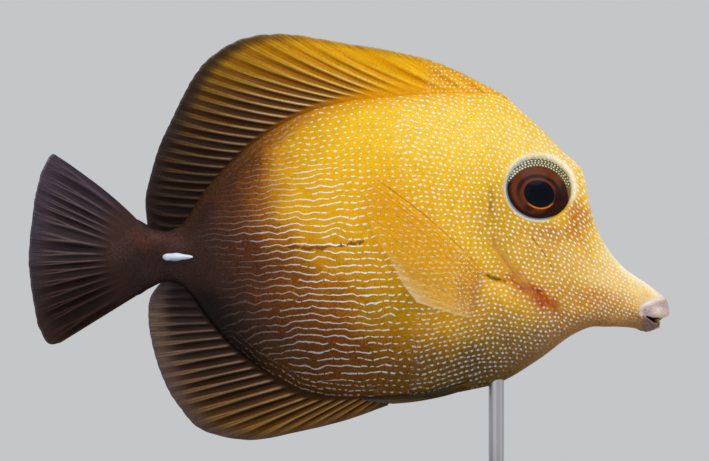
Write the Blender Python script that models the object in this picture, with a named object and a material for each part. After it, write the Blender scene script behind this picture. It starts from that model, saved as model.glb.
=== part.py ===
# A scopas tang, life size, as a still model on a plain display stand.
# The fish faces +X and +Z is up. The origin is on the floor, under the middle of its length.
# Sizes in this file are millimetres, measured from that origin, and become metres in the mesh.

import bisect
import math

import bmesh
import bpy
from mathutils import Vector

MM = 0.001
GAP = 0.3  # space kept between pieces that touch

# The flesh, from the tail's root to the lips, as rings that may lean:
# top x, top z, bottom x, bottom z and half width of each.
TAIL_END = (-51.1, 60.9)
SNOUT_END = (70.5, 47.9)
FLESH_RINGS = [
    (-50.6, 65.8, -50.6, 56.1, 0.8),
    (-47.2, 69.1, -47.0, 51.5, 1.5),
    (-44.1, 67.3, -43.9, 53.3, 2.2),
    (-40.2, 65.9, -40.4, 54.8, 2.8),
    (-36.9, 67.4, -37.1, 54.3, 3.3),
    (-31.6, 75.0, -30.7, 46.3, 4.5),
    (-26.5, 80.7, -25.9, 40.8, 5.4),
    (-20.8, 85.6, -20.1, 36.2, 6.4),
    (-10.7, 91.5, -11.3, 31.1, 7.7),
    (-0.8, 94.4, -1.9, 29.4, 8.7),
    (11.3, 95.7, 10.2, 29.2, 9.3),
    (26.7, 96.3, 26.7, 31.0, 9.3),
    (33.3, 95.8, 33.8, 32.9, 8.9),
    (39.9, 90.7, 42.1, 37.9, 7.8),
    (47.6, 83.1, 49.4, 43.2, 6.3),
    (51.4, 79.4, 53.1, 44.8, 5.6),
    (52.9, 72.6, 56.4, 44.9, 4.7),
    (55.3, 65.1, 59.5, 44.9, 3.9),
    (60.2, 58.3, 62.8, 44.6, 3.1),
    (65.9, 54.3, 65.8, 43.8, 2.9),
    (69.4, 51.6, 68.1, 44.6, 2.6),
]
WIDEST = 0.52       # height of the widest point, as a share of each ring
BODY_LENS = 1.12    # over 1 pinches the back and belly, under 1 rounds them
HEAD_LENS = 0.9
HEAD_START = 36.0
HEAD_FULL = 50.0
RING_SIDES = 28
BODY_STEP = 3.4     # spacing of the rings
FINE_STEP = 1.7
FINE_FROM = 46.0    # ahead of here, and behind the next, the rings are close
FINE_UNTIL = -30.0
END_ROUNDING = (0.4, 0.72, 0.93)

# Cuts between the head, lips, torso and tail stalk, as x and z
FLESH_PIECES = 5
GILL_CUT = [(36.0, 98.5), (34.0, 90.4), (32.5, 81.6), (32.7, 75.0), (33.8, 69.5), (36.9, 61.8),
            (43.2, 52.6), (46.1, 49.5), (48.3, 45.3), (49.2, 38.0)]
STALK_CUT = [(-35.4, 73.5), (-36.2, 68.0), (-34.4, 64.0), (-33.1, 60.3), (-34.4, 56.5),
             (-36.4, 53.7), (-36.8, 49.0)]
MOUTH_CORNER = (64.6, 47.15)
MOUTH_FRONT = (73.0, 45.1)
MOUTH_OPENING = 2.7
CUT_REACH = 20.0    # half length of the cutting walls across the fish
UPPER_LIP_CUT = [(64.9, 47.2), (64.1, 48.9), (64.4, 50.3), (65.9, 51.1), (67.9, 51.5), (72.5, 52.6)]
LOWER_LIP_CUT = [(64.9, 47.0), (64.2, 45.6), (64.3, 44.0), (64.8, 41.5)]

EYE = (41.7, 75.4)
EYE_RADIUS = 6.8
EYE_CURVE = 9.0
EYE_STANDS_OUT = 1.9
EYE_DEPTH = 5.1
EYE_TURN = (0.18, 0.16)   # how far the eye's axis turns forward and up
EYE_SIDES = 24
NOSTRILS = [(49.4, 72.2, 0.45), (50.3, 70.9, 0.35)]   # x, z and radius
NOSTRIL_DEPTH = 0.8
PIT_REACH = 6.0     # how far the solids that cut the eye sockets reach outwards

TAIL_SPINE = (-37.5, 60.3)
TAIL_SPINE_LENGTH = 6.8
TAIL_SPINE_HEIGHT = 2.0
TAIL_SPINE_THICK = 1.5
TAIL_SPINE_TAPER = 0.35
TAIL_SPINE_OUT = 0.25   # how far its middle lies off the skin

# Fin rays: number of the ray, x and z where it leaves the flesh, x and z of its tip
DORSAL_KEYS = [
    (0, 34.9, 95.4, 34.4, 95.9),
    (2, 28.5, 96.1, 17.9, 103.7),
    (4, 21.2, 96.1, -4.3, 108.0),
    (6, 13.3, 95.8, -15.1, 109.5),
    (8, 6.9, 95.5, -23.9, 108.2),
    (10, 0.8, 94.9, -30.5, 104.2),
    (12, -6.1, 93.5, -33.8, 100.4),
    (14, -12.0, 91.1, -36.0, 96.6),
    (17, -19.6, 86.7, -39.0, 90.4),
    (20, -25.3, 82.0, -41.7, 84.5),
    (23, -30.3, 76.8, -43.6, 78.1),
    (26, -34.1, 71.7, -44.7, 72.9),
    (29, -37.5, 67.0, -44.2, 67.5),
]
ANAL_KEYS = [
    (0, -37.3, 54.3, -40.8, 54.4),
    (2, -35.1, 51.5, -43.6, 51.5),
    (4, -32.5, 47.5, -44.1, 47.5),
    (7, -27.6, 42.6, -43.2, 40.9),
    (10, -22.3, 37.6, -41.0, 33.9),
    (13, -15.7, 33.5, -37.6, 27.8),
    (16, -8.3, 29.7, -31.0, 21.7),
    (18, -2.8, 29.2, -21.5, 20.0),
    (20, 2.3, 29.2, -11.1, 21.8),
    (22, 6.5, 29.2, -0.8, 24.3),
    (24, 9.1, 29.2, 7.8, 27.5),
]
CAUDAL_KEYS = [
    (0, -47.4, 69.0, -64.2, 82.4),
    (3, -50.0, 66.4, -67.8, 77.4),
    (6, -51.0, 63.3, -69.5, 69.9),
    (8, -51.2, 60.9, -70.4, 61.2),
    (10, -51.0, 58.6, -70.2, 56.5),
    (13, -50.1, 55.4, -68.9, 47.6),
    (16, -47.2, 51.4, -64.6, 40.9),
]
PECTORAL_KEYS = [
    (0, 30.8, 55.3, 5.0, 78.2),
    (3, 30.0, 53.6, 3.0, 72.0),
    (6, 29.0, 51.8, 5.0, 65.6),
    (9, 28.0, 50.1, 8.4, 60.4),
    (12, 27.2, 48.6, 11.6, 54.4),
    (14, 26.6, 47.1, 14.6, 50.6),
]
PELVIC_KEYS = [
    (0, 26.2, 33.6, 2.3, 29.3),
    (3, 26.8, 32.6, 4.8, 28.5),
    (5, 27.2, 31.7, 9.6, 28.0),
]

MEMBRANE = 0.27     # half thickness of a fin between its rays
RAY_ROOT = 0.24     # how far a ray stands out from that, at its root and tip
RAY_TIP = 0.1
ROOT_SINK = 2.2     # how deep a fin starts in the flesh before it is cut clear

# Paired fins: share of the length that is fleshy, and share in which they leave the skin
FIN_FLESH = 0.25
FIN_RISE = 0.14
PECTORAL_SUNK = 1.5
PECTORAL_CLEAR = 1.0
PECTORAL_LIFT = 1.3
PELVIC_SUNK = 0.9
PELVIC_CLEAR = 1.2
PELVIC_NEAR = 1.45  # least distance from the middle plane
PELVIC_LEAN = 1.35  # makes up for a fin that lies aslant on the belly

BASE_SIZE = (112.0, 62.0, 8.0)
BASE_CORNER = 14.0
BASE_EDGE = 1.2
ROD_X = 32.5
ROD_RADIUS = 1.7
ROD_TOP = 40.0
COLLAR_RADIUS = 4.2
COLLAR_HEIGHT = 2.4

# Colours as red, green and blue out of 255, then roughness and metallic
PAINTS = {
    "torso": (214, 160, 38, 0.42, 0.0),
    "head": (226, 180, 78, 0.42, 0.0),
    "tail_stalk": (58, 36, 30, 0.45, 0.0),
    "lip_upper": (198, 174, 156, 0.4, 0.0),
    "lip_lower": (104, 84, 78, 0.4, 0.0),
    "dorsal_fin": (153, 100, 14, 0.45, 0.0),
    "anal_fin": (66, 44, 30, 0.45, 0.0),
    "caudal_fin": (64, 50, 52, 0.45, 0.0),
    "pectoral_fin": (226, 170, 36, 0.4, 0.0),
    "pelvic_fin": (88, 78, 70, 0.45, 0.0),
    "eye": (77, 34, 14, 0.12, 0.0),
    "tail_spine": (206, 215, 226, 0.2, 0.0),
    "stand_base": (46, 34, 28, 0.4, 0.0),
    "stand_rod": (176, 176, 178, 0.3, 1.0),
}


def clear_scene():
    for item in list(bpy.data.objects):
        bpy.data.objects.remove(item, do_unlink=True)


def paint(item, name):
    red, green, blue, roughness, metallic = PAINTS[name]
    finish = bpy.data.materials.new(item.name)
    finish.use_nodes = True
    shader = finish.node_tree.nodes["Principled BSDF"]
    linear = [(value / 255) ** 2.2 for value in (red, green, blue)]
    shader.inputs["Base Color"].default_value = (*linear, 1.0)
    shader.inputs["Roughness"].default_value = roughness
    shader.inputs["Metallic"].default_value = metallic
    item.data.materials.clear()
    item.data.materials.append(finish)


def make_object(name, shape):
    bmesh.ops.recalc_face_normals(shape, faces=shape.faces)
    mesh = bpy.data.meshes.new(name)
    shape.to_mesh(mesh)
    shape.free()
    item = bpy.data.objects.new(name, mesh)
    bpy.context.collection.objects.link(item)
    return item


def find_shells(shape):
    # Loose closed surfaces of a mesh, the largest first.
    unseen = set(shape.faces)
    shells = []
    while unseen:
        queue = [unseen.pop()]
        shell = list(queue)
        while queue:
            for edge in queue.pop().edges:
                for face in edge.link_faces:
                    if face in unseen:
                        unseen.remove(face)
                        queue.append(face)
                        shell.append(face)
        shells.append(shell)
    shells.sort(key=lambda faces: sum(face.calc_area() for face in faces), reverse=True)
    return shells


def combine(item, others, operation):
    # One Boolean against a collection, applied, with the tools removed.
    tools = bpy.data.collections.new(item.name + "_tools")
    bpy.context.scene.collection.children.link(tools)
    for other in others:
        tools.objects.link(other)
    step = item.modifiers.new("combine", "BOOLEAN")
    step.operation = operation
    step.operand_type = "COLLECTION"
    step.collection = tools
    step.solver = "EXACT"
    bpy.context.view_layer.update()
    ready = item.evaluated_get(bpy.context.evaluated_depsgraph_get())
    mesh = bpy.data.meshes.new_from_object(ready)
    item.modifiers.clear()
    item.data = mesh
    for other in others:
        bpy.data.objects.remove(other, do_unlink=True)
    bpy.data.collections.remove(tools)


def tidy_shell(item):
    # Only the largest closed surface is kept.
    shape = bmesh.new()
    shape.from_mesh(item.data)
    scraps = [face for shell in find_shells(shape)[1:] for face in shell]
    bmesh.ops.delete(shape, geom=scraps, context="FACES")
    bmesh.ops.triangulate(shape, faces=shape.faces)
    shape.to_mesh(item.data)
    shape.free()


def copy_of(item, name):
    twin = item.copy()
    twin.data = item.data.copy()
    twin.name = name
    bpy.context.collection.objects.link(twin)
    return twin


def smooth_value(keys, rows, key):
    # Cubic through all rows, with slopes taken from the neighbours.
    last = len(keys) - 1
    spot = max(0, min(last - 1, bisect.bisect_right(keys, key) - 1))
    span = keys[spot + 1] - keys[spot]
    share = (key - keys[spot]) / span

    def slope(index, column):
        before = max(0, index - 1)
        after = min(last, index + 1)
        rise = 0.0
        weight = 0.0
        if before < index:
            step = keys[index] - keys[before]
            rise += (rows[index][column] - rows[before][column]) / step / step
            weight += 1 / step
        if after > index:
            step = keys[after] - keys[index]
            rise += (rows[after][column] - rows[index][column]) / step / step
            weight += 1 / step
        return rise / weight * span

    values = []
    for column in range(len(rows[0])):
        start = rows[spot][column]
        end = rows[spot + 1][column]
        start_slope = slope(spot, column)
        end_slope = slope(spot + 1, column)
        values.append((2 * share ** 3 - 3 * share ** 2 + 1) * start
                      + (share ** 3 - 2 * share ** 2 + share) * start_slope
                      + (3 * share ** 2 - 2 * share ** 3) * end
                      + (share ** 3 - share ** 2) * end_slope)
    return values


def path_keys(points):
    keys = [0.0]
    for start, end in zip(points, points[1:]):
        keys.append(keys[-1] + math.dist(start, end))
    return keys


RING_KEYS = path_keys([((row[0] + row[2]) / 2, (row[1] + row[3]) / 2) for row in FLESH_RINGS])


def flesh_ring(key):
    # Ring at a distance along the fish. Past either end it closes like an egg.
    size = 1.0
    centre_shift = (0.0, 0.0)
    place = max(RING_KEYS[0], min(RING_KEYS[-1], key))
    top_x, top_z, bottom_x, bottom_z, width = smooth_value(RING_KEYS, FLESH_RINGS, place)
    if key != place:
        end = SNOUT_END if key > place else TAIL_END
        centre = ((top_x + bottom_x) / 2, (top_z + bottom_z) / 2)
        share = min(1.0, abs(key - place))
        size = math.sqrt(1 - share * share)
        centre_shift = ((end[0] - centre[0]) * share, (end[1] - centre[1]) * share)
    middle_x = bottom_x + (top_x - bottom_x) * WIDEST
    middle_z = bottom_z + (top_z - bottom_z) * WIDEST
    top = Vector((top_x - middle_x, 0, top_z - middle_z)) * size
    bottom = Vector((bottom_x - middle_x, 0, bottom_z - middle_z)) * size
    middle = Vector((middle_x + centre_shift[0], 0, middle_z + centre_shift[1]))
    return middle, top, bottom, width * size


def lens_power(x):
    share = max(0.0, min(1.0, (x - HEAD_START) / (HEAD_FULL - HEAD_START)))
    return BODY_LENS + (HEAD_LENS - BODY_LENS) * share


def flesh_point(key, angle):
    middle, top, bottom, width = flesh_ring(key)
    rise = math.sin(angle)
    reach = top if rise > 0 else bottom
    spot = middle + reach * abs(rise)
    side = math.cos(angle)
    spot.y = math.copysign(width * abs(side) ** lens_power(middle.x), side)
    return spot


def flesh_half_width(x, z):
    # Half width of the flesh where a line along Y passes through x and z.
    low = RING_KEYS[0]
    high = RING_KEYS[-1]
    for _ in range(40):
        key = (low + high) / 2
        middle, top, bottom, width = flesh_ring(key)
        across = top - bottom
        ahead = (x - middle.x) * across.z - (z - middle.z) * across.x
        if ahead > 0:
            low = key
        else:
            high = key
    reach = top if z > middle.z else bottom
    share = min(1.0, abs((z - middle.z) / reach.z))
    return width * math.sqrt(1 - share * share) ** lens_power(middle.x)


def flesh_stations():
    keys = [-share for share in reversed(END_ROUNDING)]
    for start, end, row in zip(RING_KEYS, RING_KEYS[1:], FLESH_RINGS):
        step = FINE_STEP if row[0] > FINE_FROM or row[0] < FINE_UNTIL else BODY_STEP
        count = max(1, round((end - start) / step))
        keys += [start + (end - start) * index / count for index in range(count)]
    keys.append(RING_KEYS[-1])
    keys += [RING_KEYS[-1] + share for share in END_ROUNDING]
    return keys


def build_flesh(name, grow):
    # A ball whose parallels become the rings, with its poles at the two ends.
    keys = flesh_stations()
    bands = len(keys) + 1
    shape = bmesh.new()
    bmesh.ops.create_uvsphere(shape, u_segments=RING_SIDES, v_segments=bands, radius=1)
    for vertex in shape.verts:
        band = round(math.acos(max(-1, min(1, vertex.co.z))) / math.pi * bands)
        angle = math.atan2(vertex.co.y, vertex.co.x)
        if band == 0:
            vertex.co = Vector((TAIL_END[0], 0, TAIL_END[1]))
        elif band == bands:
            vertex.co = Vector((SNOUT_END[0], 0, SNOUT_END[1]))
        else:
            vertex.co = flesh_point(keys[band - 1], angle)
    bmesh.ops.triangulate(shape, faces=shape.faces)
    bmesh.ops.recalc_face_normals(shape, faces=shape.faces)
    shape.normal_update()
    if grow:
        moves = [(vertex, vertex.normal * grow) for vertex in shape.verts]
        for vertex, move in moves:
            vertex.co += move
    bmesh.ops.scale(shape, vec=(MM, MM, MM), verts=shape.verts)
    return make_object(name, shape)


def build_slab(name, columns, rows, place):
    # A grid split alike on both faces: place gives the spot for a column, a row and a side.
    shape = bmesh.new()
    bmesh.ops.create_grid(shape, x_segments=columns, y_segments=rows, size=1)
    bmesh.ops.triangulate(shape, faces=shape.faces, quad_method="FIXED")
    made = bmesh.ops.extrude_face_region(shape, geom=list(shape.faces))
    lifted = [part for part in made["geom"] if isinstance(part, bmesh.types.BMVert)]
    bmesh.ops.translate(shape, vec=(0, 0, 1), verts=lifted)
    for vertex in shape.verts:
        column = round((vertex.co.x + 1) / 2 * columns)
        row = round((vertex.co.y + 1) / 2 * rows)
        side = 1 if vertex.co.z > 0.5 else -1
        vertex.co = Vector(place(column, row, side)) * MM
    bmesh.ops.triangulate(shape, faces=shape.faces)
    return make_object(name, shape)


def build_kerf(name, path, start_width, end_width):
    # A thin wall along a smooth path in the side view, wide enough to cut right through.
    keys = path_keys(path)
    columns = 2 * len(path)

    def place(column, row, side):
        key = keys[-1] * column / columns
        spot = smooth_value(keys, path, key)
        ahead = smooth_value(keys, path, min(keys[-1], key + 0.01))
        behind = smooth_value(keys, path, max(0.0, key - 0.01))
        way = Vector((ahead[0] - behind[0], ahead[1] - behind[1])).normalized()
        width = start_width + (end_width - start_width) * column / columns
        across = (row - 0.5) * width
        return spot[0] - way.y * across, side * CUT_REACH, spot[1] + way.x * across

    return build_slab(name, columns, 1, place)


def ray_line(keys, number, share, bow):
    # Spot on a fin ray, from its sunk root at 0 to its tip at 1.
    numbers = [row[0] for row in keys]
    root_x, root_z, tip_x, tip_z = smooth_value(numbers, [row[1:] for row in keys], number)
    root = Vector((root_x, root_z))
    tip = Vector((tip_x, tip_z))
    way = tip - root
    length = max(0.5, way.length)
    spot = root + way * (share * (1 + ROOT_SINK / length) - ROOT_SINK / length)
    arch = max(0.0, 4 * share * (1 - share)) * bow * length
    spot += Vector((-way.y, way.x)) / length * arch
    return spot


def half_thickness(on_ray, share, root_flesh):
    # Flesh thickens the root, and the rays rise out of it.
    flesh = max(0.0, 1 - share / FIN_FLESH) if root_flesh else 0.0
    stand_out = (RAY_ROOT + (RAY_TIP - RAY_ROOT) * share) * (1 - flesh) if on_ray else 0.0
    return MEMBRANE + stand_out + root_flesh * flesh


def build_fin(name, keys, rows, bow, offset, scallop, root_flesh=0.0, lean=1.0):
    # Rays are ridges in the fin's own surface: every second column stands out.
    columns = 2 * keys[-1][0]

    def place(column, row, side):
        share = row / rows
        reach = share * (1 - scallop * share) if column % 2 else share
        spot = ray_line(keys, column / 2, reach, bow)
        middle = offset(spot.x, spot.y, column / columns, share)
        half = half_thickness(column % 2 == 0, share, root_flesh) * lean
        return spot.x, middle + side * half, spot.y

    return build_slab(name, columns, rows, place)


def wave(size, turns):
    # A slight swing out of the middle plane, growing towards the fin's edge.
    def offset(x, z, across, share):
        return size * share * share * math.sin(turns * math.pi * across)

    return offset


def pectoral_offset(x, z, across, share):
    # The fin leaves the flank at its root and stands a little further off at its tip.
    out = max(0.0, min(1.0, share / FIN_RISE))
    lift = (PECTORAL_SUNK + PECTORAL_CLEAR) * out - PECTORAL_SUNK + PECTORAL_LIFT * share
    return -(flesh_half_width(x, z) + lift)


def pelvic_offset(x, z, across, share):
    # The fin lies along the side of the belly, clear of it and of its twin.
    out = max(0.0, min(1.0, share / FIN_RISE))
    lift = (PELVIC_SUNK + PELVIC_CLEAR) * out - PELVIC_SUNK
    return -max(flesh_half_width(x, z) + lift, PELVIC_NEAR * (0.4 + 0.6 * out))


def mirrored(item, name):
    twin = copy_of(item, name)
    shape = bmesh.new()
    shape.from_mesh(twin.data)
    bmesh.ops.scale(shape, vec=(1, -1, 1), verts=shape.verts)
    bmesh.ops.reverse_faces(shape, faces=shape.faces)
    shape.to_mesh(twin.data)
    shape.free()
    return twin


def build_turned(name, profile, sides):
    # A solid turned round Z from points of radius and height, from one pole to the other.
    shape = bmesh.new()
    ring = [shape.verts.new((radius, 0, height)) for radius, height in profile]
    edges = [shape.edges.new(pair) for pair in zip(ring, ring[1:])]
    bmesh.ops.spin(shape, geom=ring + edges, cent=(0, 0, 0), axis=(0, 0, 1),
                   angle=2 * math.pi, steps=sides, use_merge=True)
    bmesh.ops.remove_doubles(shape, verts=shape.verts, dist=0.001)
    bmesh.ops.triangulate(shape, faces=shape.faces)
    bmesh.ops.scale(shape, vec=(MM, MM, MM), verts=shape.verts)
    return make_object(name, shape)


def aim(item, x, y, z, axis):
    # Moves a turned solid so that its +Z points along axis, and applies the move.
    turn = Vector(axis).to_track_quat("Z", "Y").to_matrix().to_4x4()
    item.data.transform(turn)
    item.data.transform(turn.Translation(Vector((x, y, z)) * MM))


def eye_axis():
    forward, up = EYE_TURN
    return forward, -1.0, up


def build_eye(name):
    edge_height = EYE_STANDS_OUT - EYE_CURVE + math.sqrt(EYE_CURVE ** 2 - EYE_RADIUS ** 2)
    profile = []
    steps = 5
    limit = math.asin(EYE_RADIUS / EYE_CURVE)
    for index in range(steps + 1):
        angle = limit * index / steps
        height = EYE_STANDS_OUT - EYE_CURVE * (1 - math.cos(angle))
        profile.append((EYE_CURVE * math.sin(angle), height))
    back = EYE_STANDS_OUT - EYE_DEPTH
    profile.append((EYE_RADIUS, (edge_height + back) / 2))
    profile.append((EYE_RADIUS * 0.9, back))
    profile.append((0.0, back))
    item = build_turned(name, profile, EYE_SIDES)
    aim(item, EYE[0], -flesh_half_width(*EYE), EYE[1], eye_axis())
    return item


def build_socket(name):
    back = EYE_STANDS_OUT - EYE_DEPTH - GAP
    radius = EYE_RADIUS + GAP
    profile = [(0, PIT_REACH), (radius, PIT_REACH), (radius, back), (0, back)]
    item = build_turned(name, profile, EYE_SIDES)
    aim(item, EYE[0], -flesh_half_width(*EYE), EYE[1], eye_axis())
    return item


def build_nostril(name, x, z, radius):
    profile = [(0, 1), (radius * 1.3, 1), (radius, 0), (radius * 0.6, -NOSTRIL_DEPTH), (0, -NOSTRIL_DEPTH)]
    item = build_turned(name, profile, 10)
    aim(item, x, -flesh_half_width(x, z), z, (0.3, -1, 0.1))
    return item


def build_tail_spine(name, clearance):
    # A blade that is blunt behind and comes to a point ahead.
    shape = bmesh.new()
    bmesh.ops.create_uvsphere(shape, u_segments=16, v_segments=10, radius=1)
    for vertex in shape.verts:
        along = vertex.co.z
        taper = 1 - TAIL_SPINE_TAPER * (along + 1) / 2
        spot_x = TAIL_SPINE[0] + along * TAIL_SPINE_LENGTH / 2
        spot_z = TAIL_SPINE[1] + vertex.co.x * taper * TAIL_SPINE_HEIGHT / 2
        skin = flesh_half_width(spot_x, TAIL_SPINE[1])
        spot_y = vertex.co.y * taper * TAIL_SPINE_THICK / 2 - skin - TAIL_SPINE_OUT
        vertex.co = Vector((spot_x, spot_y, spot_z)) * MM
    bmesh.ops.triangulate(shape, faces=shape.faces)
    item = make_object(name, shape)
    combine(item, [clearance], "DIFFERENCE")
    tidy_shell(item)
    return item


def part_flesh(flesh):
    # Each loose shell left by the cuts takes its name from where it lies.
    shape = bmesh.new()
    shape.from_mesh(flesh.data)
    found = {}
    for shell in find_shells(shape)[:FLESH_PIECES]:
        corners = [vertex.co / MM for face in shell for vertex in face.verts]
        low = min(spot.x for spot in corners)
        high = max(spot.x for spot in corners)
        middle_z = sum(spot.z for spot in corners) / len(corners)
        if high < 0:
            name = "tail_stalk"
        elif low < 0:
            name = "torso"
        elif low < EYE[0]:
            name = "head"
        else:
            name = "lip_upper" if middle_z > MOUTH_CORNER[1] else "lip_lower"
        found[name] = {face.index for face in shell}
    shape.free()
    for name, faces in found.items():
        shape = bmesh.new()
        shape.from_mesh(flesh.data)
        shape.faces.ensure_lookup_table()
        others = [face for face in shape.faces if face.index not in faces]
        bmesh.ops.delete(shape, geom=others, context="FACES")
        bmesh.ops.triangulate(shape, faces=shape.faces)
        paint(make_object(name, shape), name)
    bpy.data.objects.remove(flesh, do_unlink=True)


def build_body():
    flesh = build_flesh("flesh", 0.0)
    cuts = [
        build_kerf("gill_cut", GILL_CUT, GAP, GAP),
        build_kerf("stalk_cut", STALK_CUT, GAP, GAP),
        build_kerf("mouth_cut", [MOUTH_CORNER, MOUTH_FRONT], GAP, MOUTH_OPENING),
        build_kerf("upper_lip_cut", UPPER_LIP_CUT, GAP, GAP),
        build_kerf("lower_lip_cut", LOWER_LIP_CUT, GAP, GAP),
    ]
    pits = [build_socket("socket_right")]
    for number, (x, z, radius) in enumerate(NOSTRILS):
        pits.append(build_nostril(f"nostril_right_{number}", x, z, radius))
    pits += [mirrored(pit, pit.name.replace("right", "left")) for pit in list(pits)]
    for cutter in cuts + pits:
        combine(flesh, [cutter], "DIFFERENCE")
    part_flesh(flesh)


def fit_fin(fin, clearance, name):
    combine(fin, [copy_of(clearance, "clearance_copy")], "DIFFERENCE")
    tidy_shell(fin)
    paint(fin, name)


def build_fins(clearance):
    dorsal = build_fin("dorsal_fin", DORSAL_KEYS, 6, 0.035, wave(0.5, 2), 0.012)
    fit_fin(dorsal, clearance, "dorsal_fin")
    anal = build_fin("anal_fin", ANAL_KEYS, 5, 0.0, wave(0.4, 2), 0.01)
    fit_fin(anal, clearance, "anal_fin")
    caudal = build_fin("caudal_fin", CAUDAL_KEYS, 5, 0.0, wave(0.6, 3), 0.01)
    fit_fin(caudal, clearance, "caudal_fin")
    pectoral = build_fin("pectoral_fin_right", PECTORAL_KEYS, 7, 0.02, pectoral_offset, 0.015, 0.4)
    fit_fin(pectoral, clearance, "pectoral_fin")
    paint(mirrored(pectoral, "pectoral_fin_left"), "pectoral_fin")
    pelvic = build_fin("pelvic_fin_right", PELVIC_KEYS, 7, 0.05, pelvic_offset, 0.02, 0.1, PELVIC_LEAN)
    fit_fin(pelvic, clearance, "pelvic_fin")
    paint(mirrored(pelvic, "pelvic_fin_left"), "pelvic_fin")


def build_stand(clearance):
    length, width, height = BASE_SIZE
    shape = bmesh.new()
    bmesh.ops.create_cube(shape, size=1)
    bmesh.ops.scale(shape, vec=(length, width, height), verts=shape.verts)
    bmesh.ops.translate(shape, vec=(0, 0, height / 2), verts=shape.verts)
    upright = [edge for edge in shape.edges
               if abs(edge.verts[0].co.z - edge.verts[1].co.z) > height / 2]
    bmesh.ops.bevel(shape, geom=upright, offset=BASE_CORNER, segments=8, profile=0.5,
                    affect="EDGES", material=-1)
    rim = [edge for edge in shape.edges if min(spot.co.z for spot in edge.verts) > height - 0.1]
    bmesh.ops.bevel(shape, geom=rim, offset=BASE_EDGE, segments=3, profile=0.5,
                    affect="EDGES", material=-1)
    bmesh.ops.triangulate(shape, faces=shape.faces)
    bmesh.ops.scale(shape, vec=(MM, MM, MM), verts=shape.verts)
    paint(make_object("stand_base", shape), "stand_base")

    foot = height + GAP
    profile = [(0, foot), (COLLAR_RADIUS, foot), (COLLAR_RADIUS, foot + COLLAR_HEIGHT * 0.6),
               (COLLAR_RADIUS * 0.8, foot + COLLAR_HEIGHT), (ROD_RADIUS, foot + COLLAR_HEIGHT),
               (ROD_RADIUS, ROD_TOP), (0, ROD_TOP)]
    rod = build_turned("stand_rod", profile, 24)
    rod.data.transform(rod.matrix_world.Translation(Vector((ROD_X * MM, 0, 0))))
    fit_fin(rod, clearance, "stand_rod")


def build_eyes():
    eye = build_eye("eye_right")
    paint(eye, "eye")
    paint(mirrored(eye, "eye_left"), "eye")


def build_tail_spines(clearance):
    spine = build_tail_spine("tail_spine_right", copy_of(clearance, "clearance_copy"))
    paint(spine, "tail_spine")
    paint(mirrored(spine, "tail_spine_left"), "tail_spine")


def build_all():
    clear_scene()
    clearance = build_flesh("clearance", GAP * 1.1)
    build_fins(clearance)
    build_tail_spines(clearance)
    build_stand(clearance)
    build_eyes()
    build_body()
    bpy.data.objects.remove(clearance, do_unlink=True)


build_all()
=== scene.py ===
# A scopas tang, life size, as a still model on a plain display stand.
import math

import bmesh
import bpy
import numpy as np
from mathutils import Matrix, Vector, noise


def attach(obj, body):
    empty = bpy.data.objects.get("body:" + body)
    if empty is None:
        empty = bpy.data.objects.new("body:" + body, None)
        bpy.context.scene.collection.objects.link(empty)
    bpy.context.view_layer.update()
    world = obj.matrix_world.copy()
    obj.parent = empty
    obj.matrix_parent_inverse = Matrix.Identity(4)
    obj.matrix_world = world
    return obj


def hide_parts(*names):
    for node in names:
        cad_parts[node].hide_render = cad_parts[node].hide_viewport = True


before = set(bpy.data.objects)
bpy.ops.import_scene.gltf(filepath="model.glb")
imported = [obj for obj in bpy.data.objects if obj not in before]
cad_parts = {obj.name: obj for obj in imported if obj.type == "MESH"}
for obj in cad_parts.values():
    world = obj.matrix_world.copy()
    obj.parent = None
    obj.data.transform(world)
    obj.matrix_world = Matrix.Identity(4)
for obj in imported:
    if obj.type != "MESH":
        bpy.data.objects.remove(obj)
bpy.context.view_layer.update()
mm = 0.001  # sizes below are millimetres, the scene is in metres


# Small helpers

def smoothStep(low, high, value):
    share = np.clip((value - low) / (high - low), 0, 1)
    return share * share * (3 - 2 * share)


def bump(value, centre, width):
    return np.exp(-((value - centre) / width) ** 2)


def smoothRows(keys, rows, query):
    # a smooth curve through the rows, read at a whole array of places
    keys = np.asarray(keys, float)
    rows = np.asarray(rows, float)
    step = np.diff(keys)[:, None]
    rise = np.diff(rows, axis=0) / step
    slope = np.empty_like(rows)
    slope[0], slope[-1] = rise[0], rise[-1]
    slope[1:-1] = (rise[:-1] / step[:-1] + rise[1:] / step[1:]) / (1 / step[:-1] + 1 / step[1:])
    query = np.clip(query, keys[0], keys[-1])
    spot = np.clip(np.searchsorted(keys, query, side="right") - 1, 0, len(keys) - 2)
    span = (keys[spot + 1] - keys[spot])[..., None]
    share = (query - keys[spot])[..., None] / span
    return ((2 * share ** 3 - 3 * share ** 2 + 1) * rows[spot]
            + (share ** 3 - 2 * share ** 2 + share) * span * slope[spot]
            + (3 * share ** 2 - 2 * share ** 3) * rows[spot + 1]
            + (share ** 3 - share ** 2) * span * slope[spot + 1])


def smoothTable(table, query):
    # the same for a table whose first column is the key
    table = np.asarray(table, float)
    return smoothRows(table[:, 0], table[:, 1:], query)


def tableValue(table, query):
    return np.interp(query, [row[0] for row in table], [row[1] for row in table])


def tableColour(table, query):
    keys = [row[0] for row in table]
    return np.stack([np.interp(query, keys, [row[1][band] for row in table]) for band in range(3)], axis=-1)


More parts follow.
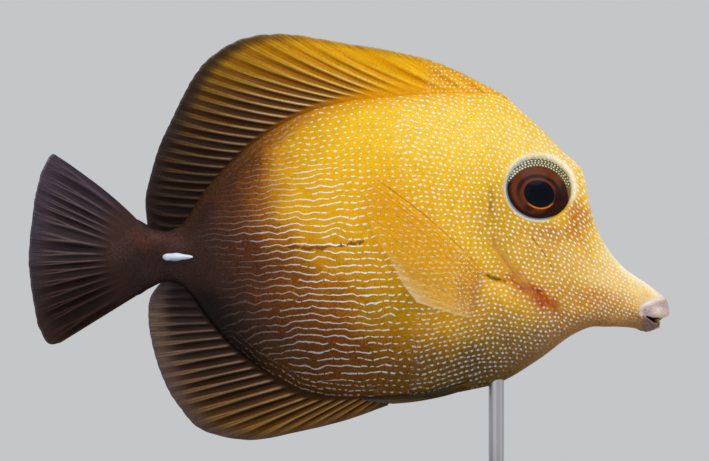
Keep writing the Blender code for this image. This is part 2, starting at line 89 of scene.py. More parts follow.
def lineDistance(points, x, z):
    # distance to a bent line, the side of it, and how far along it
    points = np.asarray(points, float)
    best = np.full(np.shape(x), 1e9)
    side = np.zeros_like(best)
    along = np.zeros_like(best)
    walked = 0.0
    for start, end in zip(points, points[1:]):
        way = end - start
        length = math.hypot(*way)
        share = np.clip(((x - start[0]) * way[0] + (z - start[1]) * way[1]) / length ** 2, 0, 1)
        dx = x - start[0] - way[0] * share
        dz = z - start[1] - way[1] * share
        reach = np.hypot(dx, dz)
        nearer = reach < best
        best = np.where(nearer, reach, best)
        side = np.where(nearer, np.sign(way[1] * dx - way[0] * dz), side)
        along = np.where(nearer, walked + share * length, along)
        walked += length
    return best, side, along / walked


def ovalReach(x, z, centre, reach, turn=0.0):
    # squared distance from the middle of a turned oval, 1 at its edge
    dx, dz = x - centre[0], z - centre[1]
    cosine, sine = math.cos(math.radians(turn)), math.sin(math.radians(turn))
    return ((dx * cosine + dz * sine) / reach[0]) ** 2 + ((dz * cosine - dx * sine) / reach[1]) ** 2


def toLinear(colour):
    # from the usual 0 to 255 to the light that Blender mixes
    return (np.clip(colour, 0, 255) / 255) ** 2.2


def slowNoise(x, y, z, size, seed):
    flat = np.column_stack([np.ravel(x), np.ravel(y), np.ravel(z)]) / size + seed
    return np.array([noise.noise(Vector(spot)) for spot in flat]).reshape(np.shape(x))


def writeColour(mesh, name, values):
    layer = mesh.attributes.new(name, "FLOAT_COLOR", "POINT")
    filled = np.ones((len(values), 4), np.float32)
    filled[:, :3] = values
    layer.data.foreach_set("color", filled.ravel())


def writeVector(mesh, name, values):
    layer = mesh.attributes.new(name, "FLOAT_VECTOR", "POINT")
    layer.data.foreach_set("vector", np.asarray(values, np.float32).ravel())


def writeValue(mesh, name, values):
    layer = mesh.attributes.new(name, "FLOAT", "POINT")
    layer.data.foreach_set("value", np.asarray(values, np.float32).ravel())


def finishPiece(name, shape, smooth=True):
    mesh = bpy.data.meshes.new(name)
    bmesh.ops.recalc_face_normals(shape, faces=shape.faces)
    shape.to_mesh(mesh)
    shape.free()
    if smooth:
        mesh.shade_smooth()
    piece = bpy.data.objects.new(name, mesh)
    bpy.context.scene.collection.objects.link(piece)
    return piece


def spinProfile(profile, steps):
    # a closed round shape from half its outline, as distance from the axis and height
    shape = bmesh.new()
    ring = [shape.verts.new((out, 0, height)) for out, height in profile]
    edges = [shape.edges.new(pair) for pair in zip(ring, ring[1:])]
    bmesh.ops.spin(shape, geom=ring + edges, cent=(0, 0, 0), axis=(0, 0, 1), angle=2 * math.pi,
                   steps=steps, use_merge=True)
    bmesh.ops.remove_doubles(shape, verts=shape.verts, dist=0.0005)
    return shape


def mirrorPiece(piece, name):
    twin = piece.copy()
    twin.data = piece.data.copy()
    twin.name = name
    twin.data.name = name
    bpy.context.scene.collection.objects.link(twin)
    twin.data.transform(Matrix.Scale(-1, 4, (0, 1, 0)))
    twin.data.flip_normals()
    return twin


def settle(piece, slotName, *nodes):
    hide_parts(*nodes)
    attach(piece, "root")


# Shader helpers

def feed(tree, socket, value):
    # a socket takes either a link from another one or a plain value
    if isinstance(value, bpy.types.NodeSocket):
        tree.links.new(value, socket)
    else:
        socket.default_value = value


def addNode(tree, kind, inputs=None, **settings):
    node = tree.nodes.new(kind)
    for name, value in settings.items():
        setattr(node, name, value)
    for name, value in (inputs or {}).items():
        feed(tree, node.inputs[name], value)
    return node


def calc(tree, operation, *values):
    return addNode(tree, "ShaderNodeMath", dict(enumerate(values)), operation=operation).outputs[0]


def plus(tree, first, second):
    return calc(tree, "ADD", first, second)


def minus(tree, first, second):
    return calc(tree, "SUBTRACT", first, second)


def times(tree, first, second):
    return calc(tree, "MULTIPLY", first, second)


def timesPlus(tree, value, factor, extra):
    return calc(tree, "MULTIPLY_ADD", value, factor, extra)


def softEdge(tree, value, low, high):
    inputs = {"Value": value, "From Min": low, "From Max": high}
    return addNode(tree, "ShaderNodeMapRange", inputs, interpolation_type="SMOOTHSTEP").outputs[0]


def mixColour(tree, share, first, second):
    tones = [tone if isinstance(tone, bpy.types.NodeSocket) else (*toLinear(np.array(tone, float)), 1)
             for tone in (first, second)]
    return addNode(tree, "ShaderNodeMix", {0: share, 6: tones[0], 7: tones[1]}, data_type="RGBA").outputs[2]


def splitVector(tree, value):
    return addNode(tree, "ShaderNodeSeparateXYZ", {"Vector": value}).outputs


def joinVector(tree, x, y, z):
    return addNode(tree, "ShaderNodeCombineXYZ", {"X": x, "Y": y, "Z": z}).outputs[0]


def readAttribute(tree, name, output="Vector"):
    return addNode(tree, "ShaderNodeAttribute", attribute_name=name).outputs[output]


def objectNoise(tree, scale, detail=2.0, stretch=None):
    place = addNode(tree, "ShaderNodeTexCoord").outputs["Object"]
    if stretch:
        place = addNode(tree, "ShaderNodeVectorMath", {0: place, 1: stretch}, operation="MULTIPLY").outputs[0]
    return addNode(tree, "ShaderNodeTexNoise", {"Vector": place, "Scale": scale, "Detail": detail}).outputs[0]


def setSockets(tree, shader, **values):
    for name, value in values.items():
        feed(tree, shader.inputs[name.replace("_", " ")], value)


def startFinish(name, roughness, **values):
    finish = bpy.data.materials.new(name)
    finish.use_nodes = True
    tree = finish.node_tree
    shader = tree.nodes["Principled BSDF"]
    setSockets(tree, shader, Roughness=roughness, **values)
    return finish, tree, shader


def addBump(tree, shader, height, strength, distance):
    node = addNode(tree, "ShaderNodeBump", {"Height": height, "Strength": strength, "Distance": distance})
    setSockets(tree, shader, Normal=node.outputs[0])


# How marks differ by chance: each row's own shift, and the spread and the least of length and size
markChance = {"rowStep": 0.5, "rowShift": 0.6, "across": 0.7, "length": (1.1, 0.3), "size": (0.25, 0.87),
              "lost": -0.05, "edge": (1.5, 0.5)}
grainScale = {"cloud": 420.0, "scales": 2300.0, "specks": 2600.0}


def makeMarkRows():
    # rows of dots, dashes or lines: Place is along, side and row, and Size is pitch, row height and
    # half length
    group = bpy.data.node_groups.new("markRows", "ShaderNodeTree")
    for name in ("Place", "Size", "Weight"):
        group.interface.new_socket(name, in_out="INPUT", socket_type="NodeSocketVector")
    group.interface.new_socket("Mark", in_out="OUTPUT", socket_type="NodeSocketFloat")
    start = group.nodes.new("NodeGroupInput").outputs
    end = group.nodes.new("NodeGroupOutput").inputs
    along, side, across = splitVector(group, start["Place"])
    pitch, height, half = splitVector(group, start["Size"])
    radius, jitter, strength = splitVector(group, start["Weight"])
    row = calc(group, "FLOOR", across)
    rowPart = calc(group, "FRACT", across)
    rowRandom = addNode(group, "ShaderNodeTexWhiteNoise",
                        {"Vector": joinVector(group, row, side, 0.5)}).outputs[0]
    shifted = plus(group, timesPlus(group, row, markChance["rowStep"], along),
                   times(group, rowRandom, markChance["rowShift"]))
    column = calc(group, "FLOOR", shifted)
    columnPart = calc(group, "FRACT", shifted)
    cell = addNode(group, "ShaderNodeTexWhiteNoise",
                   {"Vector": joinVector(group, column, row, side)}).outputs["Color"]
    first, second, third = splitVector(group, cell)
    centreAlong = timesPlus(group, minus(group, first, 0.5), jitter, 0.5)
    centreAcross = timesPlus(group, minus(group, second, 0.5), times(group, jitter, markChance["across"]),
                             0.5)
    offAlong = times(group, calc(group, "ABSOLUTE", minus(group, columnPart, centreAlong)), pitch)
    offAcross = times(group, minus(group, rowPart, centreAcross), height)
    reach = times(group, half, timesPlus(group, third, *markChance["length"]))
    past = calc(group, "MAXIMUM", minus(group, offAlong, reach), 0.0)
    far = calc(group, "SQRT", plus(group, times(group, past, past), times(group, offAcross, offAcross)))
    size = times(group, radius, timesPlus(group, first, *markChance["size"]))
    lost = addNode(group, "ShaderNodeTexWhiteNoise",
                   {"Vector": joinVector(group, row, column, 7.5)}).outputs[0]
    kept = softEdge(group, timesPlus(group, half, markChance["lost"], lost), -0.02, 0.02)
    size = times(group, size, kept)
    mark = softEdge(group, far, *(times(group, size, share) for share in markChance["edge"]))
    group.links.new(times(group, mark, strength), end["Mark"])
    return group


def makeSkinGrain():
    # fine scales and cloudy colour, shared by the skin and the fins
    group = bpy.data.node_groups.new("skinGrain", "ShaderNodeTree")
    group.interface.new_socket("Place", in_out="INPUT", socket_type="NodeSocketVector")
    for name in ("Cloud", "Scales", "Specks"):
        group.interface.new_socket(name, in_out="OUTPUT", socket_type="NodeSocketFloat")
    start = group.nodes.new("NodeGroupInput").outputs
    end = group.nodes.new("NodeGroupOutput").inputs
    cloud = addNode(group, "ShaderNodeTexNoise",
                    {"Vector": start["Place"], "Scale": grainScale["cloud"], "Detail": 4.0,
                     "Roughness": 0.65})
    scales = addNode(group, "ShaderNodeTexVoronoi",
                     {"Vector": start["Place"], "Scale": grainScale["scales"], "Randomness": 0.8})
    group.links.new(cloud.outputs[0], end["Cloud"])
    specks = addNode(group, "ShaderNodeTexNoise",
                     {"Vector": start["Place"], "Scale": grainScale["specks"], "Detail": 2.0})
    group.links.new(specks.outputs[0], end["Specks"])
    group.links.new(minus(group, 1.0, scales.outputs["Distance"]), end["Scales"])
    return group


markRows = makeMarkRows()
skinGrain = makeSkinGrain()


def useGroup(tree, group, inputs):
    return addNode(tree, "ShaderNodeGroup", inputs, node_tree=group).outputs


# The flesh, from the tail's root to the lips, as rings that may lean:
# top x, top z, bottom x, bottom z and half width of each
flesh = {
    "tailEnd": (-54.0, 60.9),
    "snoutEnd": (70.4, 47.9),
    "rings": [
        (-50.6, 65.3, -50.6, 56.6, 0.8), (-47.2, 68.6, -47.0, 51.9, 1.5), (-44.1, 67.3, -43.9, 53.3, 2.2),
        (-40.2, 65.9, -40.4, 54.8, 2.8), (-36.9, 67.4, -37.1, 54.3, 3.3), (-31.6, 75.0, -30.7, 46.3, 4.5),
        (-26.5, 80.7, -25.9, 40.8, 5.4), (-20.8, 85.6, -20.1, 36.2, 6.4), (-10.7, 91.5, -11.3, 31.1, 7.7),
        (-0.8, 94.4, -1.9, 29.4, 8.7), (11.3, 95.7, 10.2, 29.2, 9.3), (26.7, 96.3, 26.7, 31.0, 9.3),
        (33.3, 95.8, 33.8, 32.9, 8.9), (39.9, 90.7, 42.1, 37.9, 7.8), (47.6, 83.1, 49.4, 43.2, 6.3),
        (51.4, 79.4, 53.1, 44.8, 5.6), (52.9, 72.6, 56.4, 44.9, 4.7), (55.3, 65.1, 59.5, 44.9, 3.9),
        (60.2, 58.3, 62.8, 44.6, 3.1), (65.9, 54.2, 65.8, 43.8, 2.9), (68.7, 52.0, 68.1, 44.6, 2.6),
    ],
    "widest": 0.52,
    "lens": [(36, 1.12), (50, 0.9)],  # over 1 pinches the back and belly, under 1 rounds them
    "sides": 240,
    "steps": [(34, 0.62), (62, 0.3), (99, 0.13)],  # spacing of the rings up to each x
    "endSteps": (0.12, 0.25, 0.38, 0.5, 0.61, 0.7, 0.78, 0.85, 0.9, 0.94, 0.97, 0.99, 0.998),
}
ringTable = np.array(flesh["rings"])
ringMiddles = (ringTable[:, 0:2] + ringTable[:, 2:4]) / 2
ringKeys = np.concatenate([[0], np.cumsum(np.hypot(*np.diff(ringMiddles, axis=0).T))])


def fleshRings(keys):
    # middle, reach to the top, reach to the bottom and half width; past either end the flesh closes
    # like an egg
    inside = np.clip(keys, ringKeys[0], ringKeys[-1])
    rows = smoothRows(ringKeys, ringTable, inside)
    past = np.clip(np.abs(keys - inside), 0, 1)
    size = np.sqrt(1 - past ** 2)[..., None]
    top, bottom = rows[..., 0:2], rows[..., 2:4]
    ends = np.where((keys > inside)[..., None], np.array(flesh["snoutEnd"]), np.array(flesh["tailEnd"]))
    shift = (ends - (top + bottom) / 2) * past[..., None]
    middle = bottom + (top - bottom) * flesh["widest"]
    return middle + shift, (top - middle) * size, (bottom - middle) * size, rows[..., 4] * size[..., 0]


def lensPower(x):
    return tableValue(flesh["lens"], x)


def fleshHalfWidth(x, z):
    # half width of the flesh where a line across the fish passes through x and z
    low = np.full(np.shape(x), ringKeys[0])
    high = np.full(np.shape(x), ringKeys[-1])
    for _ in range(30):
        key = (low + high) / 2
        middle, top, bottom, width = fleshRings(key)
        across = top - bottom
        ahead = (x - middle[..., 0]) * across[..., 1] - (z - middle[..., 1]) * across[..., 0] > 0
        low = np.where(ahead, key, low)
        high = np.where(ahead, high, key)
    reach = np.where(z > middle[..., 1], top[..., 1], bottom[..., 1])
    share = np.clip(np.abs((z - middle[..., 1]) / reach), 0, 1)
    return width * np.sqrt(1 - share ** 2) ** lensPower(middle[..., 0])


eye = {
    "centre": (41.7, 75.3),
    "radius": 7.0,
    "wide": 1.03,
    "high": 0.965,
    "curve": 11.5,
    "standsOut": 1.7,
    "depth": 4.4,
    "turn": (0.18, 0.16),  # how far its axis turns forward and up
    "sides": 96,
}

# Lines of the head in the side view, as x and z
headLines = {
    "gill": [(30.0, 77.5), (30.3, 74.0), (30.7, 70.0), (31.0, 66.0), (31.9, 62.8), (33.8, 60.0),
             (36.8, 56.1), (39.9, 52.7), (43.0, 50.7), (45.6, 49.5)],
    "cheek": [(37.6, 67.0), (40.1, 64.6), (42.3, 61.8), (44.0, 59.0), (45.0, 56.6), (45.6, 54.6)],
    "axil": [(30.0, 56.4), (31.8, 55.6), (34.1, 55.05)],
    "streak": [(-13.0, 62.6), (-7.0, 62.2), (-2.0, 62.8), (3.2, 63.6)],
    "streakFront": [(7.4, 62.9), (11.0, 63.6), (16.5, 64.9)],
    "snoutRidge": [(47.6, 83.1), (51.4, 79.4), (52.9, 72.6), (55.3, 65.1), (60.2, 58.3), (65.9, 54.2),
                   (68.7, 52.0)],
    "lipTop": [(64.1, 47.6), (63.9, 48.7), (64.3, 49.7), (65.8, 50.5), (67.6, 51.2), (71.5, 52.2)],
    "fold": [(61.6, 48.3), (62.7, 47.5), (63.8, 47.0), (64.8, 47.2)],
    "lipBottom": [(64.7, 47.0), (64.2, 45.8), (64.6, 44.6), (65.0, 43.2)],
}
mouth = {
    "corner": 65.3,
    "upper": [(65.4, 47.4), (67.4, 47.05), (69.0, 47.15), (70.1, 47.3), (72.0, 47.4)],
    "lower": [(65.4, 47.15), (66.3, 46.45), (67.0, 46.0), (67.6, 45.72), (68.0, 45.85), (68.2, 46.5),
              (68.32, 46.65), (68.45, 46.2), (68.55, 45.4), (68.6, 44.4), (68.7, 43.6), (72.0, 43.0)],
    "rim": [(68.3, 46.45), (68.45, 46.0), (68.5, 45.3), (68.15, 44.8), (67.6, 44.5)],
    "depth": 0.62, "narrow": 0.12, "squeeze": 0.25, "floor": 45.6, "pull": 0.95, "steep": 7,
}
nostrils = [(49.3, 72.1, 0.42), (50.4, 70.7, 0.34)]  # x, z and radius

# Colours of the skin: each wash is a soft oval over the ones before, as colour, centre, reach, turn in
# degrees, strength
skinPaint = {
    # the dark tail end ripens to brown, orange and yellow: the tones, then for each height the x
    # where each is reached
    "ripeTones": [(26, 19, 17), (54, 36, 31), (80, 46, 25), (102, 58, 18), (140, 85, 8), (186, 129, 6),
                  (212, 156, 8), (234, 180, 20)],
    "ripeReach": [
        (30, -20, -14, -5, 2, 8, 15, 24, 32), (36.5, -21, -13, -6, 4, 12, 20, 26, 32),
        (43, -27, -19.5, -12.9, -4, 9, 17, 24, 30), (50.8, -31, -23.9, -19.5, -13, -3.6, 12, 17, 24),
        (58.5, -60, -30, -19, -15.5, -12, -6.5, 13, 22),
        (69.5, -42, -31, -26.3, -23, -17.8, -14.5, -11, 6), (77, -33, -29, -26, -22, -19, -15.5, -13, -3),
        (86, -30, -26, -22, -20, -18, -14.5, -11.5, -2), (95, -22, -19, -16, -14, -12, -9, -4, 4),
    ],
    "washes": {
        # the next two washes are a painted highlight on the lit top of the back and the nape
        "backHighlight": ((248, 206, 64), (24, 88), (20, 9), -6, 0.85),
        "napeHighlight": ((244, 204, 84), (40, 84), (10, 7), -42, 0.8),
        "brow": ((236, 204, 128), (47, 80), (7, 4.5), -45, 0.8),
        "flankGold": ((230, 166, 10), (8, 70), (16, 9), 0, 0.6),
        "throatOlive": ((172, 134, 4), (10, 49), (8, 7), 0, 0.6),
        "behindEye": ((192, 146, 8), (32.5, 68), (5, 9), 0, 0.75),
        "cheek": ((208, 156, 54), (44, 60), (10, 8), -30, 0.85),
        "underEye": ((182, 120, 36), (44.3, 66.0), (5.5, 2.0), -5, 0.75),
        "snout": ((236, 196, 118), (59, 54), (11, 5.5), -38, 0.9),
        "snoutLow": ((180, 110, 32), (53.5, 50.8), (10, 3.0), -12, 0.65),
        # painted highlight along the top of the snout
        "snoutTopHighlight": ((248, 236, 208), (62, 57.5), (9, 2.4), -37, 0.5),
        "snoutTip": ((240, 208, 160), (66, 51.5), (3, 2.4), -40, 0.6),
        "beforeEye": ((184, 112, 20), (50.3, 69.0), (2.6, 5.0), 10, 0.8),
        "gillGlow": ((196, 124, 46), (40.5, 51.6), (9, 3.2), -35, 0.6),
        "gillRed": ((172, 70, 4), (41.0, 52.1), (6.8, 1.1), -34, 1.0),
        # painted shadow at the top of the gill slit
        "gillTopShadow": ((120, 80, 6), (31.1, 72.4), (0.5, 2.2), 12, 0.65),
        "finBase": ((176, 112, 38), (27.0, 51.4), (2.6, 4.4), -25, 0.6),
        "beforeFin": ((238, 178, 30), (33.5, 52.5), (3.5, 2.6), -30, 0.6),
        "underFin": ((160, 106, 44), (32, 46.5), (6, 4), -15, 0.55),
        "stalkEnd": ((66, 48, 44), (-51, 64), (6, 9), 0, 0.95),
        "stalkLow": ((42, 30, 27), (-50, 52.5), (7, 6), 0, 0.95),
        "stalkTop": ((84, 58, 52), (-39.5, 64.3), (6, 2.8), -10, 0.7),
        "stalkMid": ((58, 43, 43), (-40.5, 57.0), (6, 3), 0, 0.5),
        "stalkRed": ((92, 54, 40), (-45.3, 64.6), (4.6, 2.0), -22, 0.55),
    },
    "bellyLine": [(-26, 41), (-19, 35.5), (-11.3, 31), (-2, 29.4), (10, 29.2), (26.7, 31), (33.8, 32.9),
                  (42, 37.9), (49.4, 43.2), (53, 44.8), (59.5, 44.9), (62.8, 44.6), (65.8, 43.8)],
    # painted shade along the belly by x: how far from the lower edge it is full, where it ends, and its tone
    "bellyShade": [
        (-26, 2.5, 10, (52, 33, 22)), (0, 4.5, 15, (100, 64, 24)), (9, 5.5, 15, (102, 72, 30)),
        (18, 4.5, 14.5, (98, 74, 34)), (27, 5, 18.5, (75, 58, 33)), (36, 3, 15, (96, 72, 48)),
        (42, 2.5, 12.5, (122, 90, 60)), (52, 0.8, 6, (146, 102, 62)), (66, 0.8, 5, (140, 102, 68)),
    ],
    "backLine": [(-37, 67.4), (-31.6, 75), (-26.5, 80.7), (-20.8, 85.6), (-10.7, 91.5), (-0.8, 94.4),
                 (11, 95.7), (26, 96.2)],
    "backEdge": [(-37, (62, 42, 30)), (-24, (84, 54, 24)), (-15, (160, 100, 16)), (-5, (206, 140, 16)),
                 (26, (232, 166, 24))],
    "orbit": (250, 242, 212),
    "eyeLid": (206, 220, 246),
    # painted shade inside the open mouth
    "mouthInsideShade": (44, 18, 16),
    "upperLip": (192, 172, 163),
    # pale upper roll of the lip, partly its own pale tone and partly a painted highlight
    "lipPaleAndHighlight": (244, 234, 222),
    "lipShade": (156, 134, 146),
    # lip spots: two patches of darker tone, then a painted highlight on the upper lip
    "lipSpots": [("lipShade", (65.4, 48.4), (1.4, 0.8), 0.75), ("lipShade", (69.0, 49.9), (1.2, 0.8), 0.65),
                 ("lipPaleAndHighlight", (68.0, 48.7), (1.2, 0.8), 0.6)],
    # painted highlight along the front outline of the head
    "snoutEdgeHighlight": (250, 243, 224),
    "lowerLip": (112, 92, 88),
    "lowerRim": (226, 170, 50),
    # painted shade in the gill slit, the cheek crease and the fold at the mouth's corner
    "creaseShade": (96, 58, 20),
    "gillBand": (182, 124, 80),
    "streak": (92, 44, 10),
    # painted shade in the armpit of the pectoral fin
    "axil": (70, 38, 8),
    "markPale": (238, 243, 252),
    # dull tone of the faint marks behind, and of the marks dimmed by painted shade low on the side
    "markFaintAndShaded": (138, 128, 122),
}
# The pale marks: rows of broken lines behind, which give way to rows of dots in front
lineMarks = {
    "pitch": 1.75, "height": [(0, 1.6), (68, 1.58), (80, 1.3), (120, 1.3)], "loose": 0.1,
    # half length, by x
    "half": [(-60, 1.6), (-34, 1.3), (-22, 1.5), (-3, 1.6), (2, 1.1), (7, 0.6), (12, 0.35), (18, 0.2)],
    "radius": [(0, 0.135), (14, 0.155)],
}
dotMarks = {
    "pitch": [(-60, 1.5), (8, 1.5), (14, 1.45), (20, 1.34), (28, 1.24), (40, 1.2), (50, 1.12), (56, 1.0),
              (62, 0.88), (66, 0.8), (84, 0.7)],
    "height": [(-60, 1.26), (8, 1.26), (18, 1.2), (28, 1.08), (40, 1.02), (50, 0.96), (58, 0.84),
               (66, 0.74), (84, 0.64)],
    "centre": [(-60, 62), (32, 62), (46, 59), (60, 52), (72, 47.5)],
    "half": [(10, 0.36), (16, 0.26), (24, 0.14), (32, 0.04), (38, 0.0)],
    "radius": [(8, 0.155), (16, 0.17), (24, 0.195), (34, 0.215), (48, 0.22), (56, 0.2), (62, 0.175),
               (68, 0.14)],
    "loose": 0.42,
}
# short marks that follow the back and the belly behind
edgeMarks = {"pitch": 1.5, "height": 1.15, "half": 0.42, "radius": 0.13, "loose": 0.5, "reach": 3.0,
             "ends": (-12, 4)}
markStrength = {
    "along": [(-60, 0), (-29, 0.0), (-24, 0.2), (-18, 0.5), (-9, 0.82), (4, 1.0), (62, 1.0), (64, 0.75),
              (65.5, 0.2), (66.5, 0)],
    # up: marks grow dimmer lower on the side, a painted shade towards the belly
    "up": [(38, 0.72), (46, 0.76), (50.5, 0.86), (58, 0.93), (68, 1.0)],
}


def ringStations():
    keys = [-share for share in reversed(flesh["endSteps"])]
    key = 0.0
    while key < ringKeys[-1] - 0.06:
        keys.append(key)
        middle = fleshRings(np.array(key))[0]
        key += next(step for limit, step in flesh["steps"] if middle[0] < limit)
    keys.append(ringKeys[-1])
    return np.array(keys + [ringKeys[-1] + share for share in flesh["endSteps"]])


def skinSurface():
    # the surface as arrays, one row for each ring, with the place of each point on the skin laid flat
    keys = ringStations()
    sides = flesh["sides"]
    turn = 2 * math.pi * np.arange(sides) / sides
    angle = turn - 0.22 * np.sin(2 * turn)
    middle, top, bottom, width = fleshRings(keys)
    power = lensPower(middle[:, 0])[:, None]
    rise = np.abs(np.sin(angle))[None, :]
    isTop = (np.sin(angle) > 0)[None, :, None]
    reach = np.where(isTop, top[:, None, :], bottom[:, None, :])
    flat = middle[:, None, :] + reach * rise[..., None]
    across = np.cos(angle)[None, :]
    y = np.sign(across) * width[:, None] * np.abs(across) ** power
    points = np.stack([flat[..., 0], y, flat[..., 1]], axis=-1)

    quarter = sides // 4
    spread = {}
    for name, arm in (("top", top), ("bottom", bottom)):
        climb = np.linalg.norm(arm, axis=1)[:, None] * np.abs(np.sin(angle[:quarter + 1]))[None, :]
        out = width[:, None] * np.abs(np.cos(angle[:quarter + 1]))[None, :] ** power
        lengths = np.cumsum(np.hypot(np.diff(climb, axis=1), np.diff(out, axis=1)), axis=1)
        spread[name] = np.concatenate([np.zeros((len(keys), 1)), lengths], axis=1)
    index = np.arange(sides)
    fold = np.minimum(index % (2 * quarter), 2 * quarter - index % (2 * quarter))
    arc = np.where(isTop[..., 0], spread["top"][:, fold], spread["bottom"][:, fold])
    direction = reach / np.maximum(np.linalg.norm(reach, axis=-1, keepdims=True), 1e-6)
    laid = middle[:, None, :] + direction * arc[..., None]
    return points, laid


def surfaceNormals(points, centre):
    along = np.gradient(points, axis=0)
    around = (np.roll(points, -1, axis=1) - np.roll(points, 1, axis=1)) / 2
    normal = np.cross(along, around)
    normal /= np.maximum(np.linalg.norm(normal, axis=-1, keepdims=True), 1e-9)
    outward = np.sum(normal * (points - centre), axis=-1, keepdims=True)
    return np.where(outward < 0, -normal, normal)


def eyeDistance(x, z):
    dx = (x - eye["centre"][0]) / eye["wide"]
    dz = (z - eye["centre"][1]) / eye["high"]
    return np.hypot(dx, dz)


# Forms of the skin: rims and folds as depth and width, swells as centre, reach and height
skinForms = {
    "gillRim": (0.5, 3.5), "gillSlit": (0.45, 0.7), "cheekFold": (0.1, 0.4), "cheekRise": (1.2, 1.0),
    "lidRing": (7.7, 0.5), "lidRise": 0.25, "socketDepth": 1.6, "nostrilDepth": 0.5,
    "lipTopFold": (0.12, 0.35),
    "swells": [((50.4, 66.5), (2.6, 4.0), -0.3), ((47.0, 57.0), (3.0, 5.0), 0.25)],
    "folds": [("fold", 0.14, 0.28), ("lipBottom", 0.12, 0.3), ("axil", 0.4, 0.35)],
}


def skinRelief(x, z):
    # how far the skin stands out from the plain flesh
    height = np.zeros_like(x)
    far, side, along = lineDistance(headLines["gill"], x, z)
    fade = smoothStep(0.0, 0.25, along) * smoothStep(1.0, 0.85, along)
    ahead = far * side
    rise, reach = skinForms["gillRim"]
    height += fade * rise * np.exp(-np.maximum(ahead, 0) / reach) * smoothStep(-0.3, 0.4, ahead)
    depth, width = skinForms["gillSlit"]
    height -= fade * depth * bump(ahead, -0.5, width)
    far, side, along = lineDistance(headLines["cheek"], x, z)
    ends = smoothStep(0.0, 0.2, along) * smoothStep(1.0, 0.8, along)
    depth, width = skinForms["cheekFold"]
    height += ends * depth * (bump(far * side, *skinForms["cheekRise"]) - bump(far, 0, width))
    ring = eyeDistance(x, z)
    height += skinForms["lidRise"] * bump(ring, *skinForms["lidRing"])
    height -= skinForms["socketDepth"] * smoothStep(7.3, 6.6, ring)
    for centre, reach, rise in skinForms["swells"]:
        height += rise * np.exp(-ovalReach(x, z, centre, reach))
    for spotX, spotZ, radius in nostrils:
        hole = smoothStep(radius * 1.3, radius * 0.6, np.hypot(x - spotX, z - spotZ))
        height -= skinForms["nostrilDepth"] * hole
    far, _, along = lineDistance(headLines["lipTop"], x, z)
    depth, width = skinForms["lipTopFold"]
    height -= depth * bump(far, 0, width) * smoothStep(0.5, 0.25, along)
    for name, depth, width in skinForms["folds"]:
        height -= depth * bump(lineDistance(headLines[name], x, z)[0], 0, width)
    return height


def mouthBands(x, z):
    upper, lower = (smoothTable(mouth[lip], x)[..., 0] for lip in ("upper", "lower"))
    inside = smoothStep(mouth["corner"] - 0.1, mouth["corner"] + 0.4, x)
    return upper, lower, inside


def openMouth(points):
    x, z = points[..., 0], points[..., 2]
    upper, lower, inside = mouthBands(x, z)
    gap = np.maximum(upper - lower, 0.05)
    spot = (z - lower) / gap
    pull = np.clip(1 - np.abs(2 * spot - 1) ** mouth["steep"], 0, 1) * inside * (x > mouth["corner"])
    level = (upper + np.maximum(lower, mouth["floor"])) / 2
    target = np.stack([mouth["corner"] + (x - mouth["corner"]) * mouth["depth"],
                       points[..., 1] * mouth["narrow"], z + mouth["squeeze"] * (level - z)], axis=-1)
    moved = points + (target - points) * (pull * mouth["pull"])[..., None]
    return moved, pull


def lipRolls(x, z):
    upper, lower, inside = mouthBands(x, z)
    front = smoothStep(mouth["corner"] - 0.9, mouth["corner"] + 0.5, x)
    return front * (0.2 * bump(z, upper + 0.55, 0.5) + 0.16 * bump(z, lower - 0.5, 0.42))


def lipMasks(x, z):
    # where the upper and the lower lip's own skin begins
    front = smoothStep(63.3, 64.3, x)
    far, side, _ = lineDistance(headLines["lipTop"], x, z)
    upper = smoothStep(-0.7, 0.4, far * side) * front * smoothStep(46.5, 47.2, z)
    far, side, _ = lineDistance(headLines["lipBottom"], x, z)
    lower = smoothStep(0.15, -0.15, z - mouthBands(x, z)[1]) * smoothStep(-2.6, 1.4, -far * side)
    lower = lower * smoothStep(62.0, 65.4, x)
    return upper, lower


